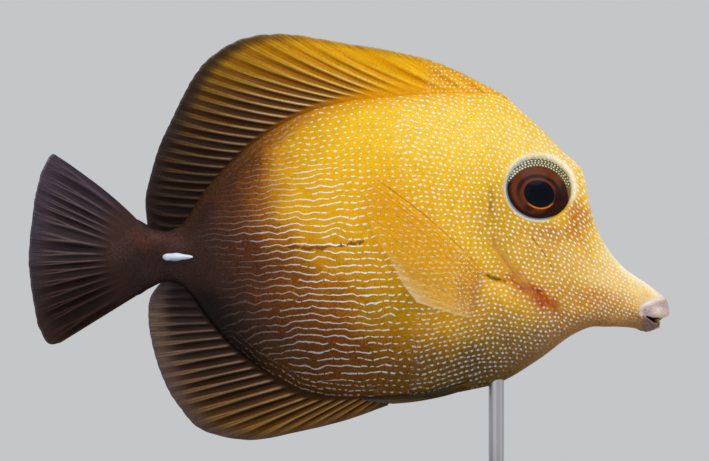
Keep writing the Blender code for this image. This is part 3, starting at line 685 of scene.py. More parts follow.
def skinColours(x, z, pull, warpX, warpZ):
    heights = [row[0] for row in skinPaint["ripeReach"]]
    edges = [np.interp(z + warpZ, heights, [row[step] for row in skinPaint["ripeReach"]])
             for step in range(1, 9)]
    turned = x + warpX * 1.3
    ripe = sum(np.clip((turned - start) / (end - start), 0, 1) for start, end in zip(edges, edges[1:]))
    colour = tableColour(list(enumerate(skinPaint["ripeTones"])), ripe)

    def lay(tone, mask):
        nonlocal colour
        colour = colour + (np.array(tone, float) - colour) * mask[..., None]

    edge = lineDistance(skinPaint["backLine"], x, z)[0]
    lay(tableColour(skinPaint["backEdge"], x), 0.8 * smoothStep(3.6, 0.4, edge) * smoothStep(30, 22, x))
    for tone, centre, reach, turn, strength in skinPaint["washes"].values():
        lay(tone, strength * np.exp(-ovalReach(x + warpX, z + warpZ, centre, reach, turn) ** 1.3))
    # painted shade along the lower edge of the body
    keys = [row[0] for row in skinPaint["bellyShade"]]
    full, gone = (np.interp(x, keys, [row[step] for row in skinPaint["bellyShade"]]) for step in (1, 2))
    far = lineDistance(skinPaint["bellyLine"], x + warpX, z + warpZ)[0]
    tone = tableColour([(row[0], row[3]) for row in skinPaint["bellyShade"]], x)
    lay(tone, 0.9 * smoothStep(gone, full, far) * smoothStep(-26, -14, x))
    far, _, along = lineDistance(headLines["gill"], x, z)
    lay(skinPaint["gillBand"], 0.75 * bump(far, 0, 0.5) * smoothStep(0.3, 0.45, along)
        * smoothStep(0.95, 0.8, along))
    # painted highlight along the front outline of the head, stronger towards the snout
    far, _, along = lineDistance(headLines["snoutRidge"], x, z)
    lay(skinPaint["snoutEdgeHighlight"], (0.3 + 0.45 * smoothStep(0.3, 0.7, along))
        * smoothStep(0.9 + along, 0.1, far))
    ring = eyeDistance(x, z)
    ahead, above = x - eye["centre"][0], z - eye["centre"][1]
    lay(skinPaint["orbit"], 0.9 * smoothStep(-2.5, 2.5, above + 0.5 * ahead) * smoothStep(8.6, 7.5, ring))
    lay(skinPaint["eyeLid"], smoothStep(-0.8, 1.2, -0.75 * ahead - 0.3 * above) * bump(ring, 7.15, 0.4))
    far, side, along = lineDistance(headLines["lipTop"], x, z)
    upperLip, lowerLip = lipMasks(x, z)
    lay(skinPaint["upperLip"], upperLip)
    # pale band along the lip's upper roll, partly a painted highlight
    lay(skinPaint["lipPaleAndHighlight"], 0.8 * bump(far * side, 0.25, 0.6) * smoothStep(63.3, 64.3, x)
        * smoothStep(1.0, 0.6, along))
    for tone, centre, reach, strength in skinPaint["lipSpots"]:
        lay(skinPaint[tone], strength * np.exp(-ovalReach(x, z, centre, reach)))
    lay(skinPaint["lowerLip"], lowerLip)
    # painted shade inside the open mouth
    lay(skinPaint["mouthInsideShade"], smoothStep(0.35, 0.8, pull))
    lay(skinPaint["lowerRim"], 0.9 * bump(lineDistance(mouth["rim"], x, z)[0], 0, 0.13)
        * smoothStep(0.3, 0.1, pull))
    # painted shade in the fold at the mouth's corner
    lay(skinPaint["creaseShade"], 0.3 * bump(lineDistance(headLines["fold"], x, z)[0], 0, 0.25))
    # painted shade in the armpit of the pectoral fin
    far, _, along = lineDistance(headLines["axil"], x, z)
    lay(skinPaint["axil"], 0.95 * bump(far, 0, 0.12 + 0.9 * along * (1 - along)))
    return colour


def walkedPlace(steps, query):
    # how many steps lie before each place, where the steps grow or shrink along the way
    spots = np.linspace(-70, 130, 4001)
    step = tableValue(steps, spots)
    walked = np.concatenate([[0], np.cumsum((1 / step[1:] + 1 / step[:-1]) / 2 * np.diff(spots))])
    return np.interp(query, spots, walked)


def markFields(laid, points, wander):
    # for the lines and for the dots: place on the skin laid flat, size, and weight of the marks
    x, z = points[..., 0], points[..., 2]
    flatX = laid[..., 0]
    flatZ = (laid[..., 1] + z) / 2
    side = np.where(points[..., 1] < 0, 3.0, 8.0)
    none = np.zeros_like(x)
    strength = tableValue(markStrength["along"], flatX + 5 * bump(z, 65.5, 4.5))
    strength = strength * tableValue(markStrength["up"], z + 0.17 * np.maximum(x - 10, 0))
    strength = strength * smoothStep(7.3, 7.7, eyeDistance(x, z)) * (1 - np.maximum(*lipMasks(x, z)))
    strength = strength * smoothStep(0.25, 0.6, lineDistance(headLines["axil"], x, z)[0])
    gill, _, along = lineDistance(headLines["gill"], x, z)
    strength = strength * (1 - 0.55 * smoothStep(1.7, 0.5, gill) * smoothStep(0.3, 0.5, along))
    back, _, backAlong = lineDistance(skinPaint["backLine"], x, z)
    belly, _, bellyAlong = lineDistance(skinPaint["bellyLine"], x, z)
    strength = strength * (1 - 0.6 * smoothStep(3.5, 0.6, belly) * smoothStep(24, 36, x))
    turned = flatX + 7 * smoothStep(54, 66, z)
    border = flatX + 4 * smoothStep(54, 66, z) + 1.6 * wander
    edge = np.minimum(back, belly)
    end = np.where(back < belly, *edgeMarks["ends"])
    strip = smoothStep(end + 4, end, flatX)
    nearEdge = smoothStep(edgeMarks["reach"] + 0.5, edgeMarks["reach"] - 0.2, edge) * strip

    bend = 0.14 * np.minimum(flatX - 5, 0) * smoothStep(54, 88, flatZ)
    bend = bend - 0.016 * np.minimum(flatX + 10, 0) ** 2 * smoothStep(56, 36, flatZ)
    rows = walkedPlace(lineMarks["height"], flatZ - bend)
    height = tableValue(lineMarks["height"], flatZ)
    half = tableValue(lineMarks["half"], turned) * (1 - 0.78 * smoothStep(71, 84, z))
    half = half * (0.35 + 0.65 * smoothStep(31, 37, z))
    shown = smoothStep(15.2, 14.0, border)
    radius = tableValue(lineMarks["radius"], turned) * (0.4 + 0.6 * shown)
    lines = (np.stack([flatX / lineMarks["pitch"] + 100, side, rows], axis=-1),
             np.stack([none + lineMarks["pitch"], height, half], axis=-1),
             np.stack([radius, none + lineMarks["loose"], strength * np.sqrt(shown) * (1 - nearEdge)],
                      axis=-1))

    finer = flatX + 0.12 * np.maximum(flatZ - 60, 0)
    pitch, height = tableValue(dotMarks["pitch"], finer), tableValue(dotMarks["height"], finer)
    shown = smoothStep(14.0, 15.2, border)
    radius = tableValue(dotMarks["radius"], flatX) * (0.4 + 0.6 * shown)
    rows = (flatZ - tableValue(dotMarks["centre"], flatX)) / height + 100
    place = np.stack([walkedPlace(dotMarks["pitch"], finer), side + 10, rows], axis=-1)
    size = np.stack([pitch, height, tableValue(dotMarks["half"], turned)], axis=-1)
    weight = np.stack([radius, none + dotMarks["loose"], strength * np.sqrt(shown)], axis=-1)
    walk = np.where(back < belly, backAlong * 72, bellyAlong * 105 + 200)
    isEdge = ((edge < edgeMarks["reach"] + 1) & (flatX < end + 4.5))[..., None]
    faint = np.where(back < belly, 0.8, 1.0)
    edgePlace = np.stack([walk / edgeMarks["pitch"], side + 10, edge / edgeMarks["height"] + 50], axis=-1)
    edgeSize = np.array([edgeMarks["pitch"], edgeMarks["height"], edgeMarks["half"]])
    edgeWeight = np.stack([none + edgeMarks["radius"], none + edgeMarks["loose"],
                           strength * nearEdge * faint], axis=-1)
    pairs = ((edgePlace, place), (edgeSize, size), (edgeWeight, weight))
    return lines, [np.where(isEdge, near, usual) for near, usual in pairs]


def buildSkin():
    points, laid = skinSurface()
    centre = np.mean(points, axis=1, keepdims=True)
    x, y, z = points[..., 0], points[..., 1], points[..., 2]
    rings, sides = x.shape
    relief = skinRelief(x, z) + lipRolls(x, z)
    shaped = points + surfaceNormals(points, centre) * relief[..., None]
    shaped, pull = openMouth(shaped)
    warpX, warpZ = (slowNoise(x, y, z, 4.5, seed) * 1.6 + slowNoise(x, y, z, 1.3, seed + 7) * 0.5
                    for seed in (3.0, 21.0))
    colours = toLinear(skinColours(x, z, pull, warpX, warpZ))
    fields = markFields(laid, points, warpX)
    gill, _, along = lineDistance(headLines["gill"], x, z)
    gill = gill + 0.5 * smoothStep(0.5, 0.1, along)
    streak = np.minimum(lineDistance(headLines["streak"], x, z)[0],
                        lineDistance(headLines["streakFront"], x, z)[0] + 0.55)
    cheek, _, along = lineDistance(headLines["cheek"], x, z)
    cheek = cheek + 0.3 * (smoothStep(0.25, 0.0, along) + smoothStep(0.75, 1.0, along))
    lines = np.stack([gill, cheek, streak], axis=-1)

    shape = bmesh.new()
    bmesh.ops.create_uvsphere(shape, u_segments=sides, v_segments=rings + 1, radius=1)
    rows = []
    for vertex in shape.verts:
        band = round(math.acos(max(-1, min(1, vertex.co.z))) / math.pi * (rings + 1))
        turn = round(math.atan2(vertex.co.y, vertex.co.x) / (2 * math.pi) * sides) % sides
        rows.append((min(max(band - 1, 0), rings - 1), turn))
        if band == 0:
            vertex.co = Vector((flesh["tailEnd"][0], 0, flesh["tailEnd"][1])) * mm
        elif band == rings + 1:
            snout = shaped[-1].mean(axis=0)
            vertex.co = Vector(snout) * mm
        else:
            vertex.co = Vector(shaped[band - 1, turn]) * mm
    skin = finishPiece("skin", shape)
    rows = np.array(rows)
    pick = (rows[:, 0], rows[:, 1])
    writeColour(skin.data, "wash", colours[pick])
    for kind, field in zip(("line", "dot"), fields):
        for name, values in zip(("Place", "Size", "Weight"), field):
            writeVector(skin.data, kind + name, values[pick])
    writeVector(skin.data, "lines", lines[pick])
    print("skin:", len(skin.data.polygons), "faces")
    return skin


# How far the rows stray: the noise as scale, detail and stretch, and its size in rows
markWander = {
    "wave": ((210.0, 1.0, (1.0, 1.0, 0.5)), 1.5),
    "ripple": ((500.0, 2.0), 0.42),
    "stray": ((330.0, 1.0, (1.0, 1.0, 0.7)), 0.8),
}
# Grain of the skin, and its lines as start, end and strength
skinLook = {
    "cloud": 0.4, "scales": 0.16, "specks": (1.5, 0.45), "mark": 0.97,
    # the gill slit and the cheek crease are darkened as painted shade; the crease is also sunk in the bump
    "creaseShade": (0.4, 0.1, 0.2), "crease": (0.26, 0.06, 0.6), "patch": (1.0, 0.5, 0.75),
    "markRise": 0.8, "scaleRise": 0.7, "creaseDepth": 2.0,
}


def makeSkinFinish():
    finish, tree, shader = startFinish("wetSkin", 0.4, Specular_IOR_Level=0.08, Coat_Weight=0.02,
                                       Coat_Roughness=0.22)
    grain = useGroup(tree, skinGrain, {"Place": addNode(tree, "ShaderNodeTexCoord").outputs["Object"]})
    wave, ripple, stray = (times(tree, minus(tree, objectNoise(tree, *kind), 0.5), size)
                           for kind, size in markWander.values())
    dotWander = plus(tree, wave, ripple)  # the dots keep closer to their rows
    marks = []
    for kind, wander in (("line", plus(tree, dotWander, stray)), ("dot", dotWander)):
        along, side, across = splitVector(tree, readAttribute(tree, kind + "Place"))
        place = joinVector(tree, along, side, plus(tree, across, wander))
        marks.append(useGroup(tree, markRows, {"Place": place, "Size": readAttribute(tree, kind + "Size"),
                                               "Weight": readAttribute(tree, kind + "Weight")})["Mark"])
    mark = calc(tree, "MAXIMUM", *marks)
    wash = readAttribute(tree, "wash", "Color")
    cloudy = timesPlus(tree, minus(tree, grain["Cloud"], 0.5), skinLook["cloud"], 1.0)
    cloudy = timesPlus(tree, minus(tree, grain["Scales"], 0.6), skinLook["scales"], cloudy)
    darkness = softEdge(tree, splitVector(tree, wash)[0], 0.75, 0.1)
    speckled = times(tree, minus(tree, grain["Specks"], 0.5), timesPlus(tree, darkness, *skinLook["specks"]))
    shade = addNode(tree, "ShaderNodeVectorMath", {0: wash, "Scale": plus(tree, cloudy, speckled)},
                    operation="SCALE").outputs[0]
    gill, cheek, streak = splitVector(tree, readAttribute(tree, "lines"))
    ragged = timesPlus(tree, objectNoise(tree, 900.0, 3.0), 3.2, timesPlus(tree, streak, 1.5, -1.4))
    masks = []
    for name, distance in (("creaseShade", gill), ("crease", cheek), ("patch", ragged)):
        start, end, strength = skinLook[name]
        masks.append(times(tree, softEdge(tree, distance, start, end), strength))
    creaseShade, crease, patch = masks
    shade = mixColour(tree, patch, shade, skinPaint["streak"])
    # painted shade in the gill slit and the cheek crease
    shade = mixColour(tree, creaseShade, shade, skinPaint["creaseShade"])
    shade = mixColour(tree, crease, shade, skinPaint["creaseShade"])
    weight = calc(tree, "MAXIMUM", *(splitVector(tree, readAttribute(tree, kind + "Weight"))[2]
                                     for kind in ("line", "dot")))
    # faint marks, and marks dimmed low on the side by painted shade, take the dull tone
    markTone = mixColour(tree, softEdge(tree, weight, 0.25, 0.95), skinPaint["markFaintAndShaded"],
                         skinPaint["markPale"])
    colour = mixColour(tree, times(tree, mark, skinLook["mark"]), shade, markTone)
    setSockets(tree, shader, Base_Color=colour, Roughness=timesPlus(tree, grain["Cloud"], 0.2, 0.3))
    raised = timesPlus(tree, mark, skinLook["markRise"], times(tree, grain["Scales"], skinLook["scaleRise"]))
    raised = minus(tree, raised, times(tree, crease, skinLook["creaseDepth"]))
    addBump(tree, shader, raised, 0.45, 0.06 * mm)
    return finish


skin = buildSkin()
skin.data.materials.append(makeSkinFinish())
settle(skin, "body_skin", "head", "torso", "tail_stalk", "lip_upper", "lip_lower")


# Fins: each ray as its number, the x and z of its root and the x and z of its tip
dorsalFin = {
    "rays": [
        (0, 34.9, 95.4, 34.4, 95.9), (2, 28.5, 96.1, 17.9, 103.7), (4, 21.2, 96.1, -4.3, 108.0),
        (6, 13.3, 95.8, -15.1, 109.46), (8, 6.9, 95.5, -23.9, 108.2), (10, 0.8, 94.9, -30.5, 104.2),
        (12, -6.1, 93.5, -33.8, 100.4), (14, -12.0, 91.1, -36.0, 96.6), (17, -19.6, 86.7, -39.0, 90.4),
        (20, -25.3, 82.0, -41.7, 84.5), (23, -30.3, 76.8, -43.6, 78.1), (26, -34.1, 71.7, -44.7, 72.9),
        (29, -37.5, 66.2, -44.3, 67.2),
    ],
    "columns": 14, "rows": 84, "bow": [(0, 0.035), (26, 0.035), (29, 0.22)], "swing": (0.5, 2), "pleat": 0.16,
    "half": (0.42, 0.16, 0.07), "ridge": (0.2, 0.05), "width": 0.22, "split": (7.0, 0.11, 0.05),
    "rootZone": (0.11, [(0, 0.5), (5, 0.45), (8, 0.26), (12, 0.17)]),
    "relief": [(0, 0.2), (4, 0.4), (9, 1.0)], "streaky": [(0, 0.45), (3, 0.6), (6, 1.1), (9, 1.4)],
    "marginReach": 4.2,
    "scallop": [(0, 0.0), (2, 0.012), (6, 0.012), (9, 0.004), (29, 0.003)],
    "flat": [(0, (240, 178, 26)), (4, (226, 160, 14)), (7, (176, 116, 6)), (10, (124, 80, 6)),
             (13, (80, 49, 8)), (17, (50, 30, 11)), (23, (30, 19, 12)), (29, (28, 19, 15))],
    # the next table is the painted shadow beside each ray
    "rayShadow": [(0, (218, 148, 10)), (4, (176, 108, 4)), (8, (84, 44, 2)), (12, (40, 21, 4)),
               (17, (25, 14, 7)), (23, (16, 10, 8)), (29, (16, 11, 10))],
    "crest": [(0, (242, 184, 36)), (4, (242, 192, 54)), (7, (238, 204, 130)), (12, (226, 196, 156)),
              (17, (168, 137, 106)), (23, (98, 73, 50)), (29, (52, 39, 31))],
    "crestTip": [(0, (240, 182, 34)), (5, (212, 156, 28)), (9, (156, 114, 24)), (13, (112, 82, 34)),
                 (17, (86, 64, 40)), (29, (46, 35, 30))],
    "margin": [(0, (236, 180, 44)), (5, (170, 118, 18)), (8.5, (44, 31, 10)), (13, (33, 23, 14)),
               (18, (42, 33, 31)), (29, (36, 27, 26))],
    # the edge of the fin, near white at the front rays as a painted highlight along the edge
    "rim": [(0, (190, 200, 200)), (9, (130, 138, 150)), (12, (78, 68, 72)), (29, (56, 46, 50))],
    "root": [(0, (238, 174, 24)), (8, (220, 148, 12)), (14, (120, 70, 12)), (20, (50, 30, 18)),
             (29, (38, 26, 22))],
}
analFin = {
    "rays": [
        (0, -37.3, 55.4, -41.0, 55.2), (2, -35.1, 51.5, -43.6, 51.5), (4, -32.5, 47.5, -44.1, 47.5),
        (7, -27.6, 42.6, -43.2, 40.9), (10, -22.3, 37.6, -41.0, 33.9), (13, -15.7, 33.5, -37.6, 27.8),
        (16, -8.3, 29.7, -31.0, 21.7), (18, -2.8, 29.2, -21.5, 20.0), (20, 2.3, 29.2, -11.1, 21.8),
        (22, 6.5, 29.2, -0.8, 24.3), (24, 9.6, 29.2, 8.6, 27.6),
    ],
    "columns": 14, "rows": 70, "bow": [(0, 0.0)], "swing": (0.4, 2), "pleat": 0.14,
    "half": (0.42, 0.16, 0.07), "ridge": (0.2, 0.05), "width": 0.2, "split": (0.0, 0.11, 0.05),
    "rootZone": (0.11, [(0, 0.18)]),
    "scallop": [(0, 0.004), (24, 0.004)],
    "flat": [(0, (33, 27, 27)), (5, (48, 36, 33)), (12, (54, 34, 20)), (18, (92, 61, 18)),
             (24, (110, 76, 28))],
    "rayShadow": [(0, (24, 18, 18)), (5, (22, 15, 14)), (12, (20, 11, 7)), (18, (28, 16, 6)),
               (24, (46, 28, 10))],
    "crest": [(0, (37, 30, 30)), (3, (50, 41, 39)), (6, (116, 95, 83)), (12, (160, 132, 112)),
              (18, (170, 138, 96)), (24, (146, 112, 62))],
    "crestTip": [(0, (50, 42, 44)), (4, (96, 80, 70)), (9, (112, 92, 76)), (14, (120, 92, 60)),
                 (18, (132, 100, 50)), (24, (120, 90, 48))],
    "margin": [(0, (50, 44, 50)), (4, (104, 86, 72)), (9, (96, 78, 70)), (16, (78, 62, 56)),
               (24, (78, 54, 28))],
    "rim": [(0, (86, 80, 92)), (24, (86, 72, 66))],
    "root": [(0, (36, 26, 23)), (10, (42, 27, 18)), (17, (56, 36, 14)), (24, (80, 54, 22))],
}
caudalFin = {
    "rays": [
        (0, -46.8, 68.4, -63.6, 81.8), (0.5, -47.9, 68.6, -65.0, 83.0), (1.3, -48.6, 68.1, -67.0, 80.3),
        (3, -50.0, 66.4, -68.4, 76.1),
        (6, -51.0, 63.3, -69.5, 69.9), (8, -51.2, 60.9, -70.36, 61.2), (10, -51.0, 58.6, -70.2, 56.5),
        (13, -50.1, 55.4, -68.9, 47.7), (14.3, -49.2, 54.0, -68.1, 44.5), (15.4, -47.9, 52.1, -65.6, 41.0),
        (16, -47.2, 51.4, -63.4, 41.4),
    ],
    "columns": 20, "rows": 84, "bow": [(0, -0.04), (1.3, -0.03), (4, 0.0)], "swing": (0.6, 3), "pleat": 0.34,
    "half": (0.8, 0.2, 0.07), "ridge": (0.12, 0.05), "width": 0.19, "split": (0.0, 0.15, 0.07),
    "rootZone": (0.14, [(0, 0.42)]),
    "scallop": [(0, 0.004), (16, 0.004)],
    "flat": [(0, (60, 50, 58)), (4, (52, 41, 47)), (9, (48, 36, 37)), (13, (31, 20, 19)), (16, (34, 22, 18))],
    "rayShadow": [(0, (44, 36, 43)), (4, (26, 19, 23)), (9, (20, 14, 15)), (13, (18, 11, 10)),
               (16, (24, 15, 13))],
    "crest": [(0, (84, 74, 82)), (4, (108, 92, 92)), (9, (110, 93, 90)), (13, (72, 53, 48)),
              (16, (52, 38, 33))],
    "margin": [(0, (70, 60, 70)), (8, (62, 52, 62)), (13, (46, 34, 36)), (16, (50, 34, 27))],
    "rim": [(0, (112, 112, 130)), (3, (84, 78, 92)), (16, (66, 54, 56))],
    "root": [(0, (60, 44, 42)), (3, (66, 47, 43)), (7, (62, 44, 41)), (11, (48, 34, 31)), (16, (42, 30, 27))],
}
pectoralFin = {
    "rays": [
        (0, 30.8, 55.3, 4.6, 78.8), (3, 30.0, 53.6, 3.0, 72.0), (6, 29.0, 51.8, 5.0, 65.6),
        (9, 28.0, 50.1, 8.4, 60.4), (12, 27.2, 48.6, 11.6, 54.4), (14, 26.6, 47.1, 14.6, 50.6),
    ],
    "columns": 18, "rows": 80, "bow": [(0, -0.035), (4, -0.02), (14, 0.02)], "swing": (0.0, 1), "pleat": 0.05,
    "half": (0.6, 0.1, 0.05), "ridge": (0.1, 0.03), "width": 0.12, "split": (0.0, 0.16, 0.07),
    "rootZone": (0.1, [(0, 0.26)]),
    "scallop": [(0, 0.0), (2, 0.01), (14, 0.01)],
    "flat": [(0, (246, 190, 40)), (8, (246, 192, 48)), (11, (245, 198, 80)), (14, (244, 210, 130))],
    "rayShadow": [(0, (236, 170, 30)), (14, (236, 190, 110))],
    "crest": [(0, (84, 44, 14)), (1.0, (204, 134, 24)), (9, (212, 142, 36)), (14, (220, 162, 84))],
    "margin": [(0, (236, 174, 40)), (7, (240, 184, 60)), (10, (240, 210, 160)), (14, (242, 216, 180))],
    "rim": [(0, (214, 160, 70)), (14, (236, 206, 160))],
    "root": [(0, (220, 158, 30)), (7, (206, 140, 36)), (14, (222, 166, 84))],
    "clear": (0.18, 0.42),
    "lift": (1.5, 1.0, 1.3),  # sunk, clear of the skin, and further at the tip
}
pelvicFin = {
    "rays": [(0, 26.4, 33.2, 2.3, 29.3), (3, 26.8, 32.6, 4.8, 28.5), (5, 27.2, 32.0, 9.6, 28.0)],
    "columns": 16, "rows": 60, "bow": [(0, 0.05)], "swing": (0.0, 1), "pleat": 0.05,
    "half": (0.42, 0.22, 0.1), "ridge": (0.14, 0.05), "width": 0.16, "split": (0.0, 0.14, 0.05),
    "rootZone": (0.14, [(0, 0.34)]),
    "scallop": [(0, 0.01), (5, 0.01)],
    "flat": [(0, (66, 62, 52)), (5, (84, 68, 36))],
    "rayShadow": [(0, (30, 28, 28)), (5, (40, 30, 18))],
    "crest": [(0, (124, 120, 116)), (5, (142, 116, 70))],
    "margin": [(0, (64, 72, 90)), (5, (84, 78, 70))],
    "rim": [(0, (86, 96, 116)), (5, (96, 90, 80))],
    "root": [(0, (88, 66, 36)), (5, (84, 62, 38))],
    "lift": (0.9, 1.2, 1.45),  # sunk, clear of the belly, and least distance from the middle plane
}
finRise = 0.14    # share of a paired fin in which it leaves the skin
rootSink = 2.2    # how deep a fin starts in the flesh


def raySpots(fin, number, share):
    line = smoothTable(fin["rays"], number)
    root, tip = line[..., 0:2], line[..., 2:4]
    way = tip - root
    length = np.maximum(0.5, np.linalg.norm(way, axis=-1, keepdims=True))
    share = share[..., None]
    spots = root + way * (share * (1 + rootSink / length) - rootSink / length)
    arch = np.maximum(0, 4 * share * (1 - share)) * tableValue(fin["bow"], number)[..., None] * length
    return spots + np.stack([-way[..., 1], way[..., 0]], axis=-1) / length * arch


def rayRidges(fin, number, share):
    # crests of the rays, which branch twice on their way out
    startSplit, firstSplit, secondSplit = fin["split"]
    part = number - np.round(number)
    soft = smoothStep(startSplit - 1, startSplit + 1, number) if startSplit else 1.0
    first = firstSplit * smoothStep(0.45, 0.8, share) * soft
    second = secondSplit * smoothStep(0.72, 0.95, share) * soft
    width = fin["width"] * (1 - 0.72 * share * soft)
    crest = np.zeros_like(number)
    for one in (-1, 1):
        for two in (-1, 1):
            crest = np.maximum(crest, np.exp(-((part - one * first - two * second) / width) ** 2))
    return crest


def finOffset(fin, name, x, z, across, share):
    if "lift" not in fin:
        size, turns = fin["swing"]
        return size * share ** 2 * np.sin(turns * math.pi * across)
    sunk, clearance, last = fin["lift"]
    out = np.clip(share / finRise, 0, 1)
    lift = (sunk + clearance) * out - sunk
    if name == "pectoralFin":
        return -(fleshHalfWidth(x, z) + lift + last * share)
    return -np.maximum(fleshHalfWidth(x, z) + lift, last * (0.4 + 0.6 * out))


def buildFin(name, fin):
    last = fin["rays"][-1][0]
    columns, rows = last * fin["columns"], fin["rows"]
    number = np.linspace(0, last, columns + 1)[:, None] + np.zeros((1, rows + 1))
    share = np.zeros((columns + 1, 1)) + np.linspace(0, 1, rows + 1)[None, :]
    crest = rayRidges(fin, number, share)
    valley = 1 - np.abs(np.cos(math.pi * number))
    reach = share * (1 - tableValue(fin["scallop"], number) * valley * smoothStep(0.6, 1.0, share))
    spots = raySpots(fin, number, reach)
    x, z = spots[..., 0], spots[..., 1]
    middle = finOffset(fin, name, x, z, number / last, share)
    inner = smoothStep(0, 1.5, number) * smoothStep(last, last - 1.5, number)
    middle = middle + fin["pleat"] * smoothStep(0.1, 0.5, share) * inner * np.cos(math.pi * number)
    rootHalf, midHalf, tipHalf = fin["half"]
    half = np.interp(share, [0, 0.16, 0.3, 1], [rootHalf, (rootHalf + midHalf) / 2, midHalf, tipHalf])
    ridge = fin["ridge"][0] + (fin["ridge"][1] - fin["ridge"][0]) * share
    edge = smoothStep(0, 0.5, number) * smoothStep(last, last - 0.5, number) * smoothStep(1.0, 0.97, share)
    rootEnd, rayStart = fin["rootZone"][0], tableValue(fin["rootZone"][1], number)
    out = smoothStep(rootEnd - 0.02, rayStart - 0.04, share) * tableValue(fin.get("relief", [(0, 1)]), number)
    half = half * (0.35 + 0.65 * edge) + crest * ridge * out

    length = np.linalg.norm(np.diff(spots, axis=1), axis=-1).sum(axis=1)[:, None]
    fromEdge = (1 - share) * length
    part = number - np.round(number)
    tone = tableColour(fin["flat"], number)

    def lay(table, mask):
        nonlocal tone
        tone = tone + (tableColour(fin[table], number) - tone) * mask[..., None]

    # painted shadow beside each ray, on the side away from the light above, fading towards the tip
    shadow = bump(part, 0.32, 0.17) + bump(part, -0.68, 0.17)
    lay("rayShadow", shadow * smoothStep(1.0, 0.5, share) * 0.9)
    lay("crest", crest ** 1.7 * (1 - 0.35 * share))
    if "crestTip" in fin:
        lay("crestTip", crest ** 1.2 * smoothStep(0.35, 0.85, share))
    lay("margin", 0.8 * smoothStep(fin.get("marginReach", 6.0), 1.0, fromEdge) * smoothStep(0.35, 0.8, share))
    lay("root", 0.95 * smoothStep(rayStart, rootEnd, share))
    # the edge tone, which on the dorsal fin's front is a painted highlight
    lay("rim", 0.85 * smoothStep(0.5, 0.25, fromEdge) * smoothStep(0.5, 0.8, share))
    if "clear" in fin:
        veil, solid = fin["clear"]
        alpha = veil + (solid - veil) * crest + 0.16 * smoothStep(9.5, 12, number)
        alpha = np.maximum(alpha * smoothStep(1.0, 0.96, share), 0.6 * smoothStep(0.3, 0.16, share))
        alpha = np.maximum(alpha, 0.85 * smoothStep(1.3, 0.5, number) * crest * smoothStep(1.0, 0.96, share))
        alpha = alpha * smoothStep(0.09, 0.2, share)
        front = smoothStep(0.04, 0.08, share) * smoothStep(1.0, 0.96, share)
        alpha = np.maximum(alpha, 0.8 * smoothStep(1.0, 0.3, number) * crest * front)
    else:
        alpha = 1 - 0.12 * smoothStep(0.8, 1.0, share)

    shape = bmesh.new()
    bmesh.ops.create_grid(shape, x_segments=columns, y_segments=rows, size=1)
    made = bmesh.ops.extrude_face_region(shape, geom=list(shape.faces))
    lifted = [part for part in made["geom"] if isinstance(part, bmesh.types.BMVert)]
    bmesh.ops.translate(shape, vec=(0, 0, 1), verts=lifted)
    picks = []
    for vertex in shape.verts:
        column = round((vertex.co.x + 1) / 2 * columns)
        row = round((vertex.co.y + 1) / 2 * rows)
        side = 1 if vertex.co.z > 0.5 else -1
        picks.append((column, row))
        vertex.co = Vector((x[column, row], middle[column, row] + side * half[column, row],
                            z[column, row])) * mm
    piece = finishPiece(name, shape)
    picks = np.array(picks)
    pick = (picks[:, 0], picks[:, 1])
    writeColour(piece.data, "tone", toLinear(tone[pick]))
    writeVector(piece.data, "finPlace", np.stack([number[pick], crest[pick], share[pick]], axis=-1))
    writeValue(piece.data, "clear", alpha[pick])
    writeValue(piece.data, "streaky", tableValue(fin.get("streaky", [(0, 1)]), number)[pick])
    dots = {"pectoralFin": 0.8 * smoothStep(0.4, 0.26, share) * smoothStep(0.08, 0.14, share),
            "dorsalFin": 0.75 * smoothStep(15.5, 20.0, x) * smoothStep(1.0, 0.9, share)}.get(name, 0 * share)
    writeVector(piece.data, "dotPlace", np.stack([x[pick] / 1.05, 0 * x[pick] + 5, z[pick] / 0.9], axis=-1))
    writeValue(piece.data, "dotWeight", dots[pick])
    print(name + ":", len(piece.data.polygons), "faces")
    return piece


def makeFinFinish(name, roughness):
    finish, tree, shader = startFinish(name, roughness, Specular_IOR_Level=0.06)
    number, _, share = splitVector(tree, readAttribute(tree, "finPlace"))
    streakPlace = joinVector(tree, times(tree, number, 14.0), 0.0, times(tree, share, 2.5))
    streaks = addNode(tree, "ShaderNodeTexNoise",
                      {"Vector": streakPlace, "Scale": 1.0, "Detail": 4.0, "Roughness": 0.7}).outputs[0]
    grain = useGroup(tree, skinGrain, {"Place": addNode(tree, "ShaderNodeTexCoord").outputs["Object"]})
    contrast = times(tree, timesPlus(tree, share, 2.0, 1.1), readAttribute(tree, "streaky", "Fac"))
    light = timesPlus(tree, minus(tree, streaks, 0.5), contrast, 1.0)
    light = timesPlus(tree, minus(tree, grain["Cloud"], 0.5), 0.35, light)
    light = timesPlus(tree, minus(tree, grain["Specks"], 0.5), 0.6, light)
    tone = addNode(tree, "ShaderNodeVectorMath", {0: readAttribute(tree, "tone", "Color"), "Scale": light},
                   operation="SCALE").outputs[0]
    weight = joinVector(tree, 0.16, 0.4, readAttribute(tree, "dotWeight", "Fac"))
    dots = useGroup(tree, markRows, {"Place": readAttribute(tree, "dotPlace"), "Size": (1.05, 0.9, 0.0),
                                     "Weight": weight})["Mark"]
    clear = calc(tree, "MAXIMUM", readAttribute(tree, "clear", "Fac"), times(tree, dots, 0.8))
    setSockets(tree, shader, Base_Color=mixColour(tree, dots, tone, skinPaint["markPale"]), Alpha=clear)
    height = timesPlus(tree, streaks, 0.8, times(tree, grain["Scales"], 0.3))
    addBump(tree, shader, height, 0.4, 0.08 * mm)
    return finish


